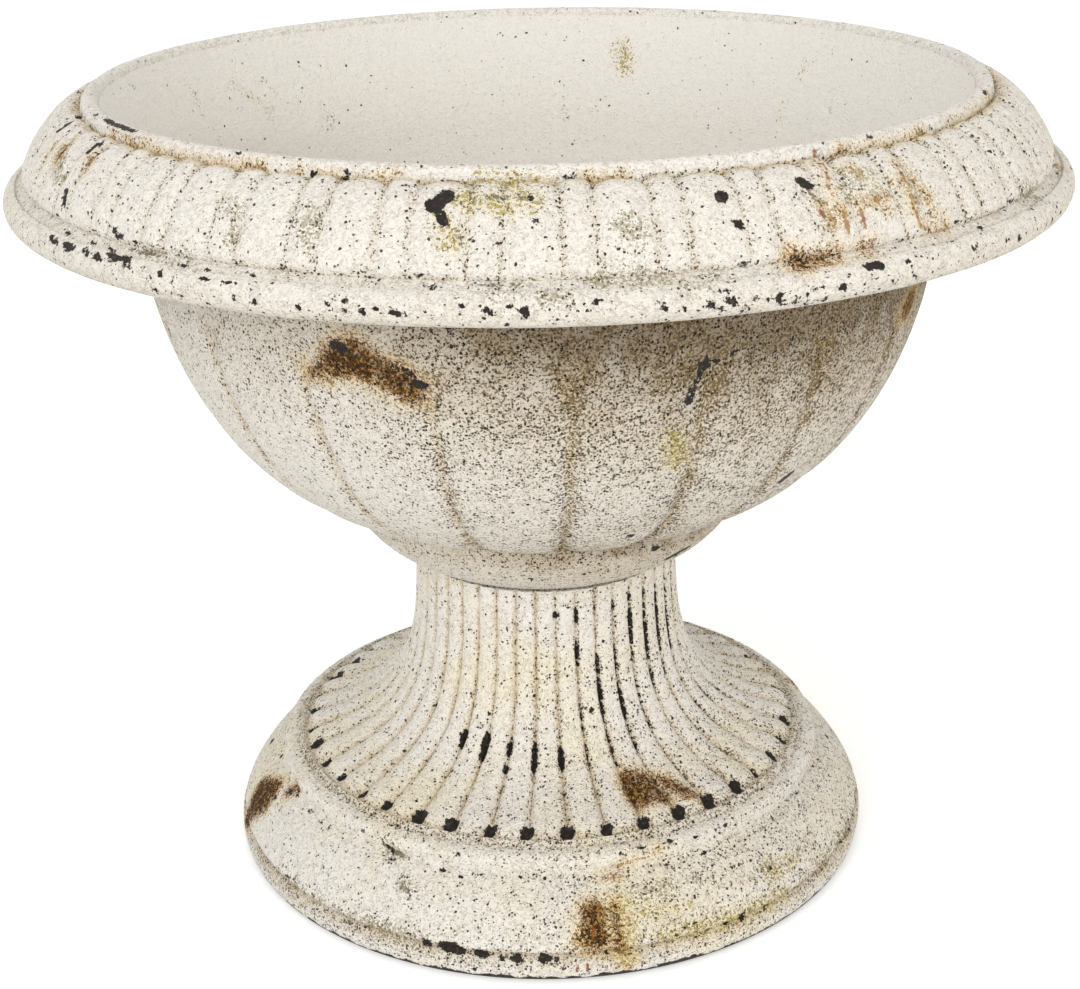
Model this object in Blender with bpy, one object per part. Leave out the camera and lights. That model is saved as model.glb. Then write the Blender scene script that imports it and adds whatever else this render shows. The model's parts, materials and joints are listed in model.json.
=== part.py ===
"""Low garden urn: two iron castings, bowl and pedestal, held together by one bolt.

Metres, +Z up. The origin is on the ground, at the centre of the foot. Angles are counted from -Y towards +X,
so one crease of the bowl, one dart of the rim and one groove of the stem face -Y.
A profile point is (radius, height): pedestal heights from the ground, bowl heights from the bowl's own seat.
"""

from math import cos, hypot, inf, pi, radians, sin, sqrt

import bmesh
import bpy
from mathutils import Vector

# Pedestal casting, outside
SHOULDER_HEIGHT = 0.1184  # ground to the shoulder that carries the bowl
STEM_RADIUS = 0.0510  # crests of the reeds at the shoulder
FLARE_RADIUS = 0.0988  # crests where the reeds end
FLARE_HEIGHT = 0.0442
REED_COUNT = 42
REED_RELIEF_TOP = 0.0016
REED_RELIEF_END = 0.0032
FLARE_BEND = ((0.03, 0.60), (0.09, 0.87))  # handles of the flare, as shares of its reach and its fall
LEDGE_WIDTH = 0.0036  # sloping ledge between the reed ends and the bead round them
LEDGE_SINK = 0.0017  # how far the ledge starts below the crests of the reeds
LEDGE_SLOPE = radians(40)
RING_BEAD = 0.0046  # radius of that bead
RING_ARC = (radians(80), radians(-25))  # the stretch of the bead that shows, from its top
RING_STEP = 0.0014  # fall from the bead to the start of the slope
SLOPE_RADIUS = 0.1252  # where the sloping foot ends
SLOPE_HEIGHT = 0.0122
SLOPE_BEND = ((0.45, 0.22), (0.84, 0.68))
FOOT_GROOVE = 0.0008
PLINTH_RADIUS = 0.1267
PLINTH_TOP = 0.0094
PLINTH_BOTTOM = 0.0031  # below it the edge draws in to the land
FOOT_RADIUS = 0.1246  # outer edge of the flat land that meets the ground
FOOT_LAND = 0.0120  # width of that land

# Pedestal casting, inside
STEM_WALL = 0.0072
WEB_THICKNESS = 0.0060  # below the shoulder
SPIGOT_RADIUS = 0.0360
SPIGOT_HEIGHT = 0.0060
SPIGOT_CLEARANCE = 0.0005
SPIGOT_TOP_CLEARANCE = 0.0004

# Seat between the castings
GASKET_THICKNESS = 0.0010
GASKET_MARGIN = 0.0015  # from the gasket's edges to the spigot and to the grooves between the reeds
TOUCH_GAP = 0.0003  # left wherever two pieces rest on each other

# Bowl casting, outside
COLLAR_FOOT_RADIUS = 0.0520
COLLAR_RADIUS = 0.0755
COLLAR_HEIGHT = 0.0235
COLLAR_BEND = ((0.05, 0.40), (0.54, 0.82))
BODY_FOOT_RADIUS = 0.0779
BODY_FOOT_HEIGHT = 0.0259
BODY_RADIUS = 0.1459  # where the bowl's wall goes up under the rim
BODY_HEIGHT = 0.1346
BODY_BEND = ((0.06, 0.46), (0.37, 0.87))
LOBE_COUNT = 20
LOBE_RELIEF = 0.0030
LOBE_EDGE = 0.0100  # width over which a lobe rounds down to its crease
LOBE_TOP_GAP = 0.0136  # plain wall above the arched tops
CREASE_WIDTH = 0.0030

# Rim
RIM_RADIUS = 0.1900
RIM_BEAD = 0.0057
RIM_BEAD_HEIGHT = 0.1466
RIM_ARC = (radians(80), radians(-80))
BAND_FOOT_RADIUS = 0.1834
BAND_FOOT_HEIGHT = 0.1542
BAND_TOP_RADIUS = 0.1610
BAND_TOP_HEIGHT = 0.1782
BAND_BEND = ((0.42, 0.0), (0.92, 0.65))
EGG_COUNT = 42
EGG_RELIEF = 0.0022
EGG_EDGE = 0.0060
DART_SHARE = 0.34  # of the pitch, from groove to groove
LIP_RADIUS = 0.1573
LIP_HEIGHT = 0.1781  # centre of the lip's bead
LIP_BEAD = 0.0032

# Bowl casting, inside
BOWL_WALL = 0.0056
RIM_WALL = 0.0066
UNDER_RIM_BOW = 0.0010  # how far the wall under the rim bows in from a straight line
FLOOR_THICKNESS = 0.0090
FLOOR_RADIUS = 0.0600
THROAT_BEND = ((0.11, 0.40), (0.69, 0.77))  # between the lobed wall and the lip

# Holes
BOLT_HOLE_RADIUS = 0.0055
DRAIN_COUNT = 3
DRAIN_CIRCLE = 0.0260
FLOOR_DRAIN_RADIUS = 0.0050
WEB_DRAIN_RADIUS = 0.0070

# Fasteners
BOLT_RADIUS = 0.0050
BOLT_LENGTH = 0.0450
BOLT_TIP = 0.0010  # taper at the end of the shank
HEAD_HEIGHT = 0.0064
ACROSS_FLATS = 0.0160
CHAMFER_FLAT = 0.0152  # across the flat top that the corners' chamfer leaves
CHAMFER_SLOPE = 0.5  # height lost for each unit of radius
NUT_HEIGHT = 0.0084
BORE_CLEARANCE = 0.0004
RUBBER_RADIUS = 0.0140
RUBBER_THICKNESS = 0.0025
HEAD_WASHER_RADIUS = 0.0150
HEAD_WASHER_THICKNESS = 0.0020
NUT_WASHER_RADIUS = 0.0100
NUT_WASHER_THICKNESS = 0.0020
SPRING_WIRE = 0.0022
SPRING_BAND = 0.0034
SPRING_OPENING = radians(14)
SPRING_RISE = 0.0006

# Points round each ring of the meshes, where a pattern's points are shares of its pitch
PLAIN_POINTS = 48
ROUND_POINTS = 60
REED_STEPS = (0.0, 0.22, 0.5, 0.78)
LOBE_STEPS = (0.0, 0.12, 0.34, 0.66, 0.88)
EGG_STEPS = (0.0, 0.17, 0.36, 0.64, 0.83)
WASHER_POINTS = 24

# Rings down each curve, as shares of it from its upper end
REED_ROWS = (0.0, 0.30, 0.52, 0.68, 0.80, 0.89, 0.95, 1.0)
LOBE_ROWS = (0.0, 0.08, 0.13, 0.20, 0.34, 0.52, 0.70, 0.85, 0.94, 1.0)
EGG_ROWS = (0.0, 0.12, 0.32, 0.62, 0.90, 1.0)
COLLAR_ROWS = (0.0, 0.35, 0.7, 1.0)
SLOPE_ROWS = (0.0, 0.5, 1.0)
STEM_INSIDE_ROWS = (0.24, 0.48, 0.70, 0.88)
WALL_INSIDE_ROWS = (0.0, 0.30, 0.48, 0.66, 0.84, 1.0)
THROAT_ROWS = (0.40, 0.75)
UNDER_BAND_ROWS = (0.35, 0.60, 0.85)
UNDER_RIM_ROWS = (1 / 3, 2 / 3)
BEAD_POINTS = 4
RING_POINTS = 3

# Limits of the mesh work
CURVE_PARTS = 200  # pieces that a curve is measured in
SAME_ANGLE = 1e-6
SMOOTH_ANGLE = radians(32)  # edges sharper than this stay sharp
CUT_OVERRUN = 0.0020  # cutters reach this far past both faces

# Heights that follow from the sizes above
SEAT_STACK = GASKET_THICKNESS + 2 * TOUCH_GAP
SEAT_HEIGHT = SHOULDER_HEIGHT + SEAT_STACK
SPIGOT_TOP = SHOULDER_HEIGHT + SPIGOT_HEIGHT
RECESS_DEPTH = SPIGOT_HEIGHT - SEAT_STACK + SPIGOT_TOP_CLEARANCE
FLOOR_HEIGHT = RECESS_DEPTH + FLOOR_THICKNESS
WEB_UNDERSIDE = SHOULDER_HEIGHT - WEB_THICKNESS


def bent(start, end, bend):
    """Four handles of a curve from start out or in, and down or up, to end."""
    across = end[0] - start[0]
    along = end[1] - start[1]
    handles = [(start[0] + a * across, start[1] + b * along) for a, b in bend]
    return (start, *handles, end)


def bezier(ends, share):
    """Point at share 0 to 1 of the curve with these four (radius, height) handles."""
    a, b, c, d = (Vector(point) for point in ends)
    rest = 1 - share
    return rest**3 * a + 3 * rest**2 * share * b + 3 * rest * share**2 * c + share**3 * d


def normal_at(ends, share):
    """Unit normal on the left of the curve, which is outwards where it runs down the casting."""
    step = 1 / CURVE_PARTS
    ahead = bezier(ends, min(1, share + step)) - bezier(ends, max(0, share - step))
    ahead.normalize()
    return Vector((-ahead.y, ahead.x))


def lengths_along(ends, shares):
    """Distance along the curve to each share, and the curve's whole length."""
    points = [bezier(ends, i / CURVE_PARTS) for i in range(CURVE_PARTS + 1)]
    totals = [0.0]
    for before, after in zip(points, points[1:]):
        totals.append(totals[-1] + (after - before).length)
    return [totals[round(share * CURVE_PARTS)] for share in shares], totals[-1]


def arc(centre, radius, start, end, steps):
    """Profile points on a circle, from angle start to angle end."""
    turns = [start + (end - start) * i / steps for i in range(steps + 1)]
    return [Vector((centre[0] + radius * cos(a), centre[1] + radius * sin(a))) for a in turns]


def round_over(share):
    """Height of a quarter-round edge at share 0, its foot, to 1, its top."""
    share = max(0.0, min(1.0, share))
    return sqrt(1 - (1 - share) ** 2)


def panel_depth(across, along, half_width, length, top_round, end_round):
    """Distance from a point of a round-cornered panel to the panel's edge; below 0 outside it."""
    corner = top_round if along < length / 2 else end_round
    from_end = min(along, length - along)
    past_side = abs(across) - (half_width - corner)
    past_end = corner - from_end
    if past_side > 0 and past_end > 0:
        return corner - hypot(past_side, past_end)
    return min(half_width - abs(across), from_end)


def even_angles(count):
    return [2 * pi * i / count for i in range(count)]


def pattern_angles(count, steps):
    return [2 * pi * (i + step) / count for i in range(count) for step in steps]


def off_middle(angle, count):
    """Angle from the middle of the nearest lobe, egg or reed; grooves lie at 0 and each pitch."""
    pitch = 2 * pi / count
    return angle % pitch - pitch / 2


class Casting:
    """A closed surface built ring by ring, each ring joined to the one before it."""

    def __init__(self):
        self.mesh = bmesh.new()
        self.last = None

    def ring(self, angles, profile):
        """Adds a ring; profile is one point for all angles, or a function of the angle."""
        verts = []
        for angle in angles:
            radius, height = profile(angle) if callable(profile) else profile
            verts.append(self.mesh.verts.new((radius * sin(angle), -radius * cos(angle), height)))
        if self.last:
            self.join(*self.last, angles, verts)
        else:
            self.mesh.faces.new(verts)
        self.last = (angles, verts)

    def join(self, angles_a, ring_a, angles_b, ring_b):
        """Quads where both rings have a point at the next angle, triangles elsewhere."""
        count_a = len(ring_a)
        count_b = len(ring_b)
        turns_a = list(angles_a) + [angles_a[0] + 2 * pi]
        turns_b = list(angles_b) + [angles_b[0] + 2 * pi]
        i = 0
        j = 0
        while i < count_a or j < count_b:
            here_a, here_b = ring_a[i % count_a], ring_b[j % count_b]
            next_a = turns_a[i + 1] if i < count_a else inf
            next_b = turns_b[j + 1] if j < count_b else inf
            step_a = next_a <= next_b + SAME_ANGLE
            step_b = next_b <= next_a + SAME_ANGLE
            corners = [here_a]
            if step_a:
                i += 1
                corners.append(ring_a[i % count_a])
            if step_b:
                j += 1
                corners.append(ring_b[j % count_b])
            corners.append(here_b)
            self.mesh.faces.new(corners)

    def rings(self, angles, profiles):
        for profile in profiles:
            self.ring(angles, profile)

    def close(self):
        """Fills the last ring and turns the faces outwards."""
        self.mesh.faces.new(self.last[1])
        bmesh.ops.recalc_face_normals(self.mesh, faces=self.mesh.faces)
        return self.mesh


def add_object(name, mesh_data, material, parent, height=0.0):
    """Links a named object made from a bmesh, smooth except at its sharp edges."""
    mesh = bpy.data.meshes.new(name)
    mesh_data.to_mesh(mesh)
    mesh_data.free()
    mesh.shade_smooth()
    mesh.set_sharp_from_angle(angle=SMOOTH_ANGLE)
    piece = bpy.data.objects.new(name, mesh)
    bpy.context.collection.objects.link(piece)
    piece.parent = parent
    piece.location.z = height
    if material:
        mesh.materials.append(material)
    return piece


def add_cutter(name, mesh_data, parent, height=0.0):
    cutter = add_object(name, mesh_data, None, parent, height)
    cutter.hide_render = True
    cutter.display_type = "WIRE"
    return cutter


def boolean(piece, cutter, operation):
    step = piece.modifiers.new(cutter.name, "BOOLEAN")
    step.operation = operation
    step.object = cutter
    step.solver = "EXACT"


def make_material(name, colour, roughness, metallic):
    material = bpy.data.materials.new(name)
    material.use_nodes = True
    shader = material.node_tree.nodes["Principled BSDF"]
    shader.inputs["Base Color"].default_value = (*colour, 1)
    shader.inputs["Roughness"].default_value = roughness
    shader.inputs["Metallic"].default_value = metallic
    return material


def flare_curve():
    """Reed crests, from the shoulder down and out to the ring."""
    return bent((STEM_RADIUS, SHOULDER_HEIGHT), (FLARE_RADIUS, FLARE_HEIGHT), FLARE_BEND)


def reed_profile(share, along, length):
    """The reeded surface at one distance down the stem, as a function of the angle."""
    curve = flare_curve()
    crest = bezier(curve, share)
    outward = normal_at(curve, share)
    relief = REED_RELIEF_TOP + (REED_RELIEF_END - REED_RELIEF_TOP) * share
    half_width = pi * crest.x / REED_COUNT

    def profile(angle):
        across = off_middle(angle, REED_COUNT) * crest.x
        # The reeds run on above the shoulder, so only their lower ends are round.
        depth = panel_depth(across, along + length, half_width, 2 * length, 0.0, half_width)
        return crest - outward * relief * (1 - round_over(depth / half_width))

    return profile


def stem_rings():
    """The reeds, from the shoulder to their round ends."""
    curve = flare_curve()
    alongs, length = lengths_along(curve, REED_ROWS)
    return [reed_profile(share, along, length) for share, along in zip(REED_ROWS, alongs)]


def foot_outline():
    """Ledge, bead, sloping foot and plinth, from the reed ends to the ground."""
    ledge = Vector((FLARE_RADIUS + LEDGE_SINK, FLARE_HEIGHT - LEDGE_SINK))
    ledge_end = ledge + LEDGE_WIDTH * Vector((cos(LEDGE_SLOPE), -sin(LEDGE_SLOPE)))
    bead_centre = ledge_end - Vector((0, RING_BEAD))
    bead = arc(bead_centre, RING_BEAD, *RING_ARC, RING_POINTS)
    slope_start = bead[-1] - Vector((0, RING_STEP))
    slope = bent(slope_start, (SLOPE_RADIUS, SLOPE_HEIGHT), SLOPE_BEND)
    edge_height = (SLOPE_HEIGHT + PLINTH_TOP) / 2
    plinth = [
        (SLOPE_RADIUS - FOOT_GROOVE, edge_height),
        (PLINTH_RADIUS, PLINTH_TOP),
        (PLINTH_RADIUS, PLINTH_BOTTOM),
        (FOOT_RADIUS, 0.0),
    ]
    return [ledge] + bead + [bezier(slope, share) for share in SLOPE_ROWS] + plinth


def pedestal_hollow():
    """Inside of the foot and the stem, from the ground up to the web."""
    curve = flare_curve()
    wall = STEM_WALL + REED_RELIEF_TOP
    points = [(FOOT_RADIUS - FOOT_LAND, 0.0)]
    knee = bezier(curve, 1.0) - normal_at(curve, 1.0) * (wall + REED_RELIEF_END)
    points.append(Vector((FOOT_RADIUS - FOOT_LAND, SLOPE_HEIGHT - FOOT_GROOVE)))
    points.append(knee + Vector((LEDGE_WIDTH, 0)))
    for share in reversed(STEM_INSIDE_ROWS):
        points.append(bezier(curve, share) - normal_at(curve, share) * wall)
    points.append((STEM_RADIUS - wall, WEB_UNDERSIDE))
    return points


def hole_cutter(name, bottom, top, drain_radius, parent):
    """One bolt hole and the ring of drain holes, as upright rods through a plate."""
    rods = bmesh.new()
    places = [(0.0, 0.0, BOLT_HOLE_RADIUS)]
    for angle in even_angles(DRAIN_COUNT):
        places.append((DRAIN_CIRCLE * sin(angle), -DRAIN_CIRCLE * cos(angle), drain_radius))
    for x, y, radius in places:
        made = bmesh.ops.create_cone(
            rods, cap_ends=True, segments=WASHER_POINTS, radius1=radius, radius2=radius,
            depth=top - bottom + 2 * CUT_OVERRUN,
        )
        bmesh.ops.translate(rods, verts=made["verts"], vec=(x, y, (top + bottom) / 2))
    return add_cutter(name, rods, parent)


def make_pedestal(material, parent):
    casting = Casting()
    groove_radius = STEM_RADIUS - REED_RELIEF_TOP
    casting.ring(even_angles(PLAIN_POINTS), (SPIGOT_RADIUS, SPIGOT_TOP))
    casting.ring(even_angles(PLAIN_POINTS), (SPIGOT_RADIUS, SHOULDER_HEIGHT))
    casting.ring(even_angles(ROUND_POINTS), (groove_radius - GASKET_MARGIN / 2, SHOULDER_HEIGHT))
    casting.rings(pattern_angles(REED_COUNT, REED_STEPS), stem_rings())
    casting.rings(even_angles(ROUND_POINTS), foot_outline())
    casting.rings(even_angles(PLAIN_POINTS), pedestal_hollow())
    pedestal = add_object("pedestal", casting.close(), material, parent)
    cutter = hole_cutter("web_cutter", WEB_UNDERSIDE, SPIGOT_TOP, WEB_DRAIN_RADIUS, parent)
    boolean(pedestal, cutter, "DIFFERENCE")
    return pedestal


def body_curve():
    """Crests of the lobes, from under the rim down to the collar."""
    return bent((BODY_RADIUS, BODY_HEIGHT), (BODY_FOOT_RADIUS, BODY_FOOT_HEIGHT), BODY_BEND)


def lobe_profile(share, along, length):
    """The gadrooned wall at one distance down the bowl, as a function of the angle."""
    curve = body_curve()
    crest = bezier(curve, share)
    outward = normal_at(curve, share)
    half_width = pi * crest.x / LOBE_COUNT - CREASE_WIDTH / 2

    def profile(angle):
        across = off_middle(angle, LOBE_COUNT) * crest.x
        depth = panel_depth(
            across, along - LOBE_TOP_GAP, half_width, length - LOBE_TOP_GAP, half_width, half_width
        )
        return crest - outward * LOBE_RELIEF * (1 - round_over(depth / LOBE_EDGE))

    return profile


def body_rings():
    curve = body_curve()
    alongs, length = lengths_along(curve, LOBE_ROWS)
    return [lobe_profile(share, along, length) for share, along in zip(LOBE_ROWS, alongs)]


def collar_outline():
    curve = bent((COLLAR_RADIUS, COLLAR_HEIGHT), (COLLAR_FOOT_RADIUS, 0.0), COLLAR_BEND)
    return [bezier(curve, share) for share in COLLAR_ROWS]


def band_curve():
    """Crests of the egg and dart, from the lip out and down to the rim's bead."""
    return bent((BAND_TOP_RADIUS, BAND_TOP_HEIGHT), (BAND_FOOT_RADIUS, BAND_FOOT_HEIGHT), BAND_BEND)


def egg_profile(share, along, length):
    """The egg and dart band at one distance down the rim, as a function of the angle."""
    curve = band_curve()
    crest = bezier(curve, share)
    outward = normal_at(curve, share)
    pitch = 2 * pi * crest.x / EGG_COUNT
    egg_half = pitch * (1 - DART_SHARE) / 2
    dart_half = pitch * DART_SHARE / 2

    def profile(angle):
        across = abs(off_middle(angle, EGG_COUNT) * crest.x)
        egg = panel_depth(across, along, egg_half, length, egg_half, EGG_EDGE / 2)
        dart = panel_depth(pitch / 2 - across, along, dart_half, length, dart_half / 2, dart_half / 2)
        rise = max(round_over(egg / EGG_EDGE), round_over(dart / dart_half))
        return crest - outward * EGG_RELIEF * (1 - rise)

    return profile


def band_rings():
    curve = band_curve()
    alongs, length = lengths_along(curve, EGG_ROWS)
    return [egg_profile(share, along, length) for share, along in zip(EGG_ROWS, alongs)]


def floor_and_wall():
    """Inside of the bowl, from the middle of the floor up to the lip's bead."""
    curve = body_curve()
    wall = BOWL_WALL + LOBE_RELIEF / 2
    points = [(FLOOR_RADIUS, FLOOR_HEIGHT)]
    for share in reversed(WALL_INSIDE_ROWS):
        points.append(bezier(curve, share) - normal_at(curve, share) * wall)
    throat = bent(points[-1], (LIP_RADIUS - LIP_BEAD, LIP_HEIGHT), THROAT_BEND)
    return points + [bezier(throat, share) for share in THROAT_ROWS]


def rim_underside():
    """Back of the rim's bead, the hollow behind the band, and the wall down to the body."""
    curve = band_curve()
    bead_back = RIM_RADIUS - 2 * RIM_BEAD
    points = [(bead_back, RIM_BEAD_HEIGHT)]
    for share in reversed(UNDER_BAND_ROWS):
        points.append(bezier(curve, share) - normal_at(curve, share) * RIM_WALL)
    wall_top = Vector((LIP_RADIUS, BAND_TOP_HEIGHT - RIM_WALL - EGG_RELIEF))
    body_top = Vector((BODY_RADIUS, BODY_HEIGHT))
    bow = Vector((UNDER_RIM_BOW, 0.0))
    points.append(wall_top)
    points += [wall_top.lerp(body_top, share) - bow for share in UNDER_RIM_ROWS]
    return points


def make_bowl(material, parent):
    casting = Casting()
    plain = even_angles(PLAIN_POINTS)
    rounder = even_angles(ROUND_POINTS)
    lip = arc((LIP_RADIUS, LIP_HEIGHT), LIP_BEAD, pi, 0.0, BEAD_POINTS)
    bead_centre = (RIM_RADIUS - RIM_BEAD, RIM_BEAD_HEIGHT)
    casting.rings(plain, floor_and_wall())
    casting.rings(rounder, lip)
    casting.rings(pattern_angles(EGG_COUNT, EGG_STEPS), band_rings())
    casting.rings(rounder, arc(bead_centre, RIM_BEAD, *RIM_ARC, BEAD_POINTS))
    casting.rings(plain, rim_underside())
    casting.rings(pattern_angles(LOBE_COUNT, LOBE_STEPS), body_rings())
    casting.rings(plain, collar_outline())
    recess_radius = SPIGOT_RADIUS + SPIGOT_CLEARANCE
    casting.rings(plain, [(recess_radius, 0.0), (recess_radius, RECESS_DEPTH)])
    bowl = add_object("bowl", casting.close(), material, parent, SEAT_HEIGHT)
    floor_bottom = SEAT_HEIGHT + RECESS_DEPTH
    floor_top = SEAT_HEIGHT + FLOOR_HEIGHT
    cutter = hole_cutter("floor_cutter", floor_bottom, floor_top, FLOOR_DRAIN_RADIUS, parent)
    boolean(bowl, cutter, "DIFFERENCE")
    return bowl


def flat_ring(inner, outer, thickness, points):
    """A washer standing on its own underside."""
    ring = bmesh.new()
    corners = ((inner, 0.0), (outer, 0.0), (outer, thickness), (inner, thickness))
    columns = []
    for angle in even_angles(points):
        column = [ring.verts.new((r * sin(angle), -r * cos(angle), z)) for r, z in corners]
        columns.append(column)
    for column, following in zip(columns, columns[1:] + columns[:1]):
        for i in range(4):
            j = (i + 1) % 4
            ring.faces.new((column[i], column[j], following[j], following[i]))
    bmesh.ops.recalc_face_normals(ring, faces=ring.faces)
    return ring


def split_ring(inner, outer, wire, rise, opening):
    """A spring washer: one turn of square wire, cut through and sprung open along its axis."""
    ring = bmesh.new()
    turns = WASHER_POINTS
    columns = []
    for i in range(turns + 1):
        share = i / turns
        angle = opening / 2 + (2 * pi - opening) * share
        low = rise * share
        corners = ((inner, low), (outer, low), (outer, low + wire), (inner, low + wire))
        columns.append([ring.verts.new((r * sin(angle), -r * cos(angle), z)) for r, z in corners])
    for column, following in zip(columns, columns[1:]):
        for i in range(4):
            j = (i + 1) % 4
            ring.faces.new((column[i], column[j], following[j], following[i]))
    ring.faces.new(columns[0])
    ring.faces.new(columns[-1])
    bmesh.ops.recalc_face_normals(ring, faces=ring.faces)
    return ring


def hexagon(height):
    """Six-sided prism standing on its own underside."""
    prism = bmesh.new()
    corner_radius = ACROSS_FLATS / 2 / cos(pi / 6)
    bmesh.ops.create_cone(
        prism, cap_ends=True, segments=6, radius1=corner_radius, radius2=corner_radius, depth=height
    )
    bmesh.ops.translate(prism, verts=prism.verts, vec=(0, 0, height / 2))
    return prism


def corner_chamfer(name, height, both_ends, parent, place):
    """Round body that takes the corners off a hexagon, at its top or at both its ends."""
    flat = CHAMFER_FLAT / 2
    widest = flat + height / 2 / CHAMFER_SLOPE
    profile = [(flat, height), (widest, height / 2)]
    profile.append((flat, 0.0) if both_ends else (widest, -height))
    body = Casting()
    body.rings(even_angles(WASHER_POINTS), profile)
    return add_cutter(name, body.close(), parent, place)


def make_bolt(material, parent, head_seat):
    """Hexagon head with a chamfered top, and its shank with a tapered tip."""
    bolt = add_object("tie_bolt", hexagon(HEAD_HEIGHT), material, parent, head_seat)
    boolean(bolt, corner_chamfer("head_chamfer", HEAD_HEIGHT, False, parent, head_seat), "INTERSECT")
    shank = Casting()
    outline = [
        (BOLT_RADIUS, HEAD_HEIGHT / 2),
        (BOLT_RADIUS, BOLT_TIP - BOLT_LENGTH),
        (BOLT_RADIUS - BOLT_TIP, -BOLT_LENGTH),
    ]
    shank.rings(even_angles(WASHER_POINTS), outline)
    boolean(bolt, add_cutter("shank_blank", shank.close(), parent, head_seat), "UNION")
    return bolt


def make_nut(material, parent, place):
    nut = add_object("hex_nut", hexagon(NUT_HEIGHT), material, parent, place)
    boolean(nut, corner_chamfer("nut_chamfer", NUT_HEIGHT, True, parent, place), "INTERSECT")
    bore = bmesh.new()
    radius = BOLT_RADIUS + BORE_CLEARANCE
    bmesh.ops.create_cone(
        bore, cap_ends=True, segments=WASHER_POINTS, radius1=radius, radius2=radius, depth=3 * NUT_HEIGHT
    )
    boolean(nut, add_cutter("nut_bore", bore, parent, place + NUT_HEIGHT / 2), "DIFFERENCE")
    return nut


def make_fasteners(steel, rubber, parent):
    """Everything on the bolt, stacked with a touching gap between one piece and the next."""
    bore = BOLT_RADIUS + BORE_CLEARANCE
    rubber_place = SEAT_HEIGHT + FLOOR_HEIGHT + TOUCH_GAP
    washer_place = rubber_place + RUBBER_THICKNESS + TOUCH_GAP
    head_seat = washer_place + HEAD_WASHER_THICKNESS + TOUCH_GAP
    sealing = flat_ring(bore, RUBBER_RADIUS, RUBBER_THICKNESS, WASHER_POINTS)
    add_object("sealing_washer", sealing, rubber, parent, rubber_place)
    flat = flat_ring(bore, HEAD_WASHER_RADIUS, HEAD_WASHER_THICKNESS, WASHER_POINTS)
    add_object("head_washer", flat, steel, parent, washer_place)
    make_bolt(steel, parent, head_seat)

    under_place = WEB_UNDERSIDE - TOUCH_GAP - NUT_WASHER_THICKNESS
    under = flat_ring(bore, NUT_WASHER_RADIUS, NUT_WASHER_THICKNESS, WASHER_POINTS)
    add_object("nut_washer", under, steel, parent, under_place)
    spring_place = under_place - TOUCH_GAP - SPRING_WIRE - SPRING_RISE
    spring = split_ring(bore, bore + SPRING_BAND, SPRING_WIRE, SPRING_RISE, SPRING_OPENING)
    add_object("spring_washer", spring, steel, parent, spring_place)
    make_nut(steel, parent, spring_place - TOUCH_GAP - NUT_HEIGHT)


def make_gasket(material, parent):
    inner = SPIGOT_RADIUS + GASKET_MARGIN
    outer = STEM_RADIUS - REED_RELIEF_TOP - GASKET_MARGIN
    ring = flat_ring(inner, outer, GASKET_THICKNESS, PLAIN_POINTS)
    return add_object("seat_gasket", ring, material, parent, SHOULDER_HEIGHT + TOUCH_GAP)


def main():
    for old in list(bpy.data.objects):
        bpy.data.objects.remove(old, do_unlink=True)
    urn = bpy.data.objects.new("urn", None)
    bpy.context.collection.objects.link(urn)
    cream_iron = make_material("cream_painted_iron", (0.80, 0.75, 0.65), 0.75, 0.0)
    steel = make_material("zinc_steel", (0.55, 0.55, 0.56), 0.40, 1.0)
    rubber = make_material("black_rubber", (0.03, 0.03, 0.03), 0.80, 0.0)
    make_pedestal(cream_iron, urn)
    make_bowl(cream_iron, urn)
    make_gasket(rubber, urn)
    make_fasteners(steel, rubber, urn)


main()
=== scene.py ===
# %% [markdown]
# # A worn garden urn
#
# This urn is two sand castings in grey iron, a bowl and a pedestal, held together by one bolt. It was
# painted cream long ago, and sun, frost and wet soil have pitted and chipped the paint and stained it
# with rust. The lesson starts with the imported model, which already has the right sizes and places, and
# gives it the skin that the real one has. Sizes in this lesson are millimetres on a half section of the
# urn: a point is (radius, height above the ground). Turns are degrees round the urn, counted from the
# front towards the right.

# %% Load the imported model
import json
from math import cos, pi, radians, sin

import bmesh
import bpy
import numpy as np
from mathutils import Matrix, Vector, noise


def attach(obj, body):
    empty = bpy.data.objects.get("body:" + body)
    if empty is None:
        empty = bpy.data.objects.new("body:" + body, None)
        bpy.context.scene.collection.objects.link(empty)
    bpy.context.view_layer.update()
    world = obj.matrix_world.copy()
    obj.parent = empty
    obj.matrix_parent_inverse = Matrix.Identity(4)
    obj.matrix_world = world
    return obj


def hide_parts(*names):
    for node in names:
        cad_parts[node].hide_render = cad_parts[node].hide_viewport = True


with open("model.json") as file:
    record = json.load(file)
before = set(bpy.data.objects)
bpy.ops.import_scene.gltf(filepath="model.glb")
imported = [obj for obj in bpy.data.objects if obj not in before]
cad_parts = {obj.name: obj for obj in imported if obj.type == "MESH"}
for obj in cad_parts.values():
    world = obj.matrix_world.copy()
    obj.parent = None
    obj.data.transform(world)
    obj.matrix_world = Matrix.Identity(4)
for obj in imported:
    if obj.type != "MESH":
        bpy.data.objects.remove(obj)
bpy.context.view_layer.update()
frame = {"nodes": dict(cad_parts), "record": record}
MM = 0.001
print("pieces of the packed urn:", ", ".join(sorted(frame["nodes"])))

# %% [markdown]
# ## The camera
#
# The urn is seen from a little above its rim. A short distance and a normal lens give the rim its strong
# oval, so the camera's place is part of the likeness. It could be aimed with a Track To constraint, but
# three plain turns keep the small roll that a hand-held camera has: heading round the vertical, pitch,
# and roll.

# %% Place the camera
CAMERA_DISTANCE = 701.6  # from the urn's axis
CAMERA_HEIGHT = 419.6
CAMERA_TURN = radians(-3.6)
CAMERA_HEADING = radians(3.45)
CAMERA_PITCH = radians(21.96)
CAMERA_ROLL = radians(-1.21)
CAMERA_LENS = 64.6


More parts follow.
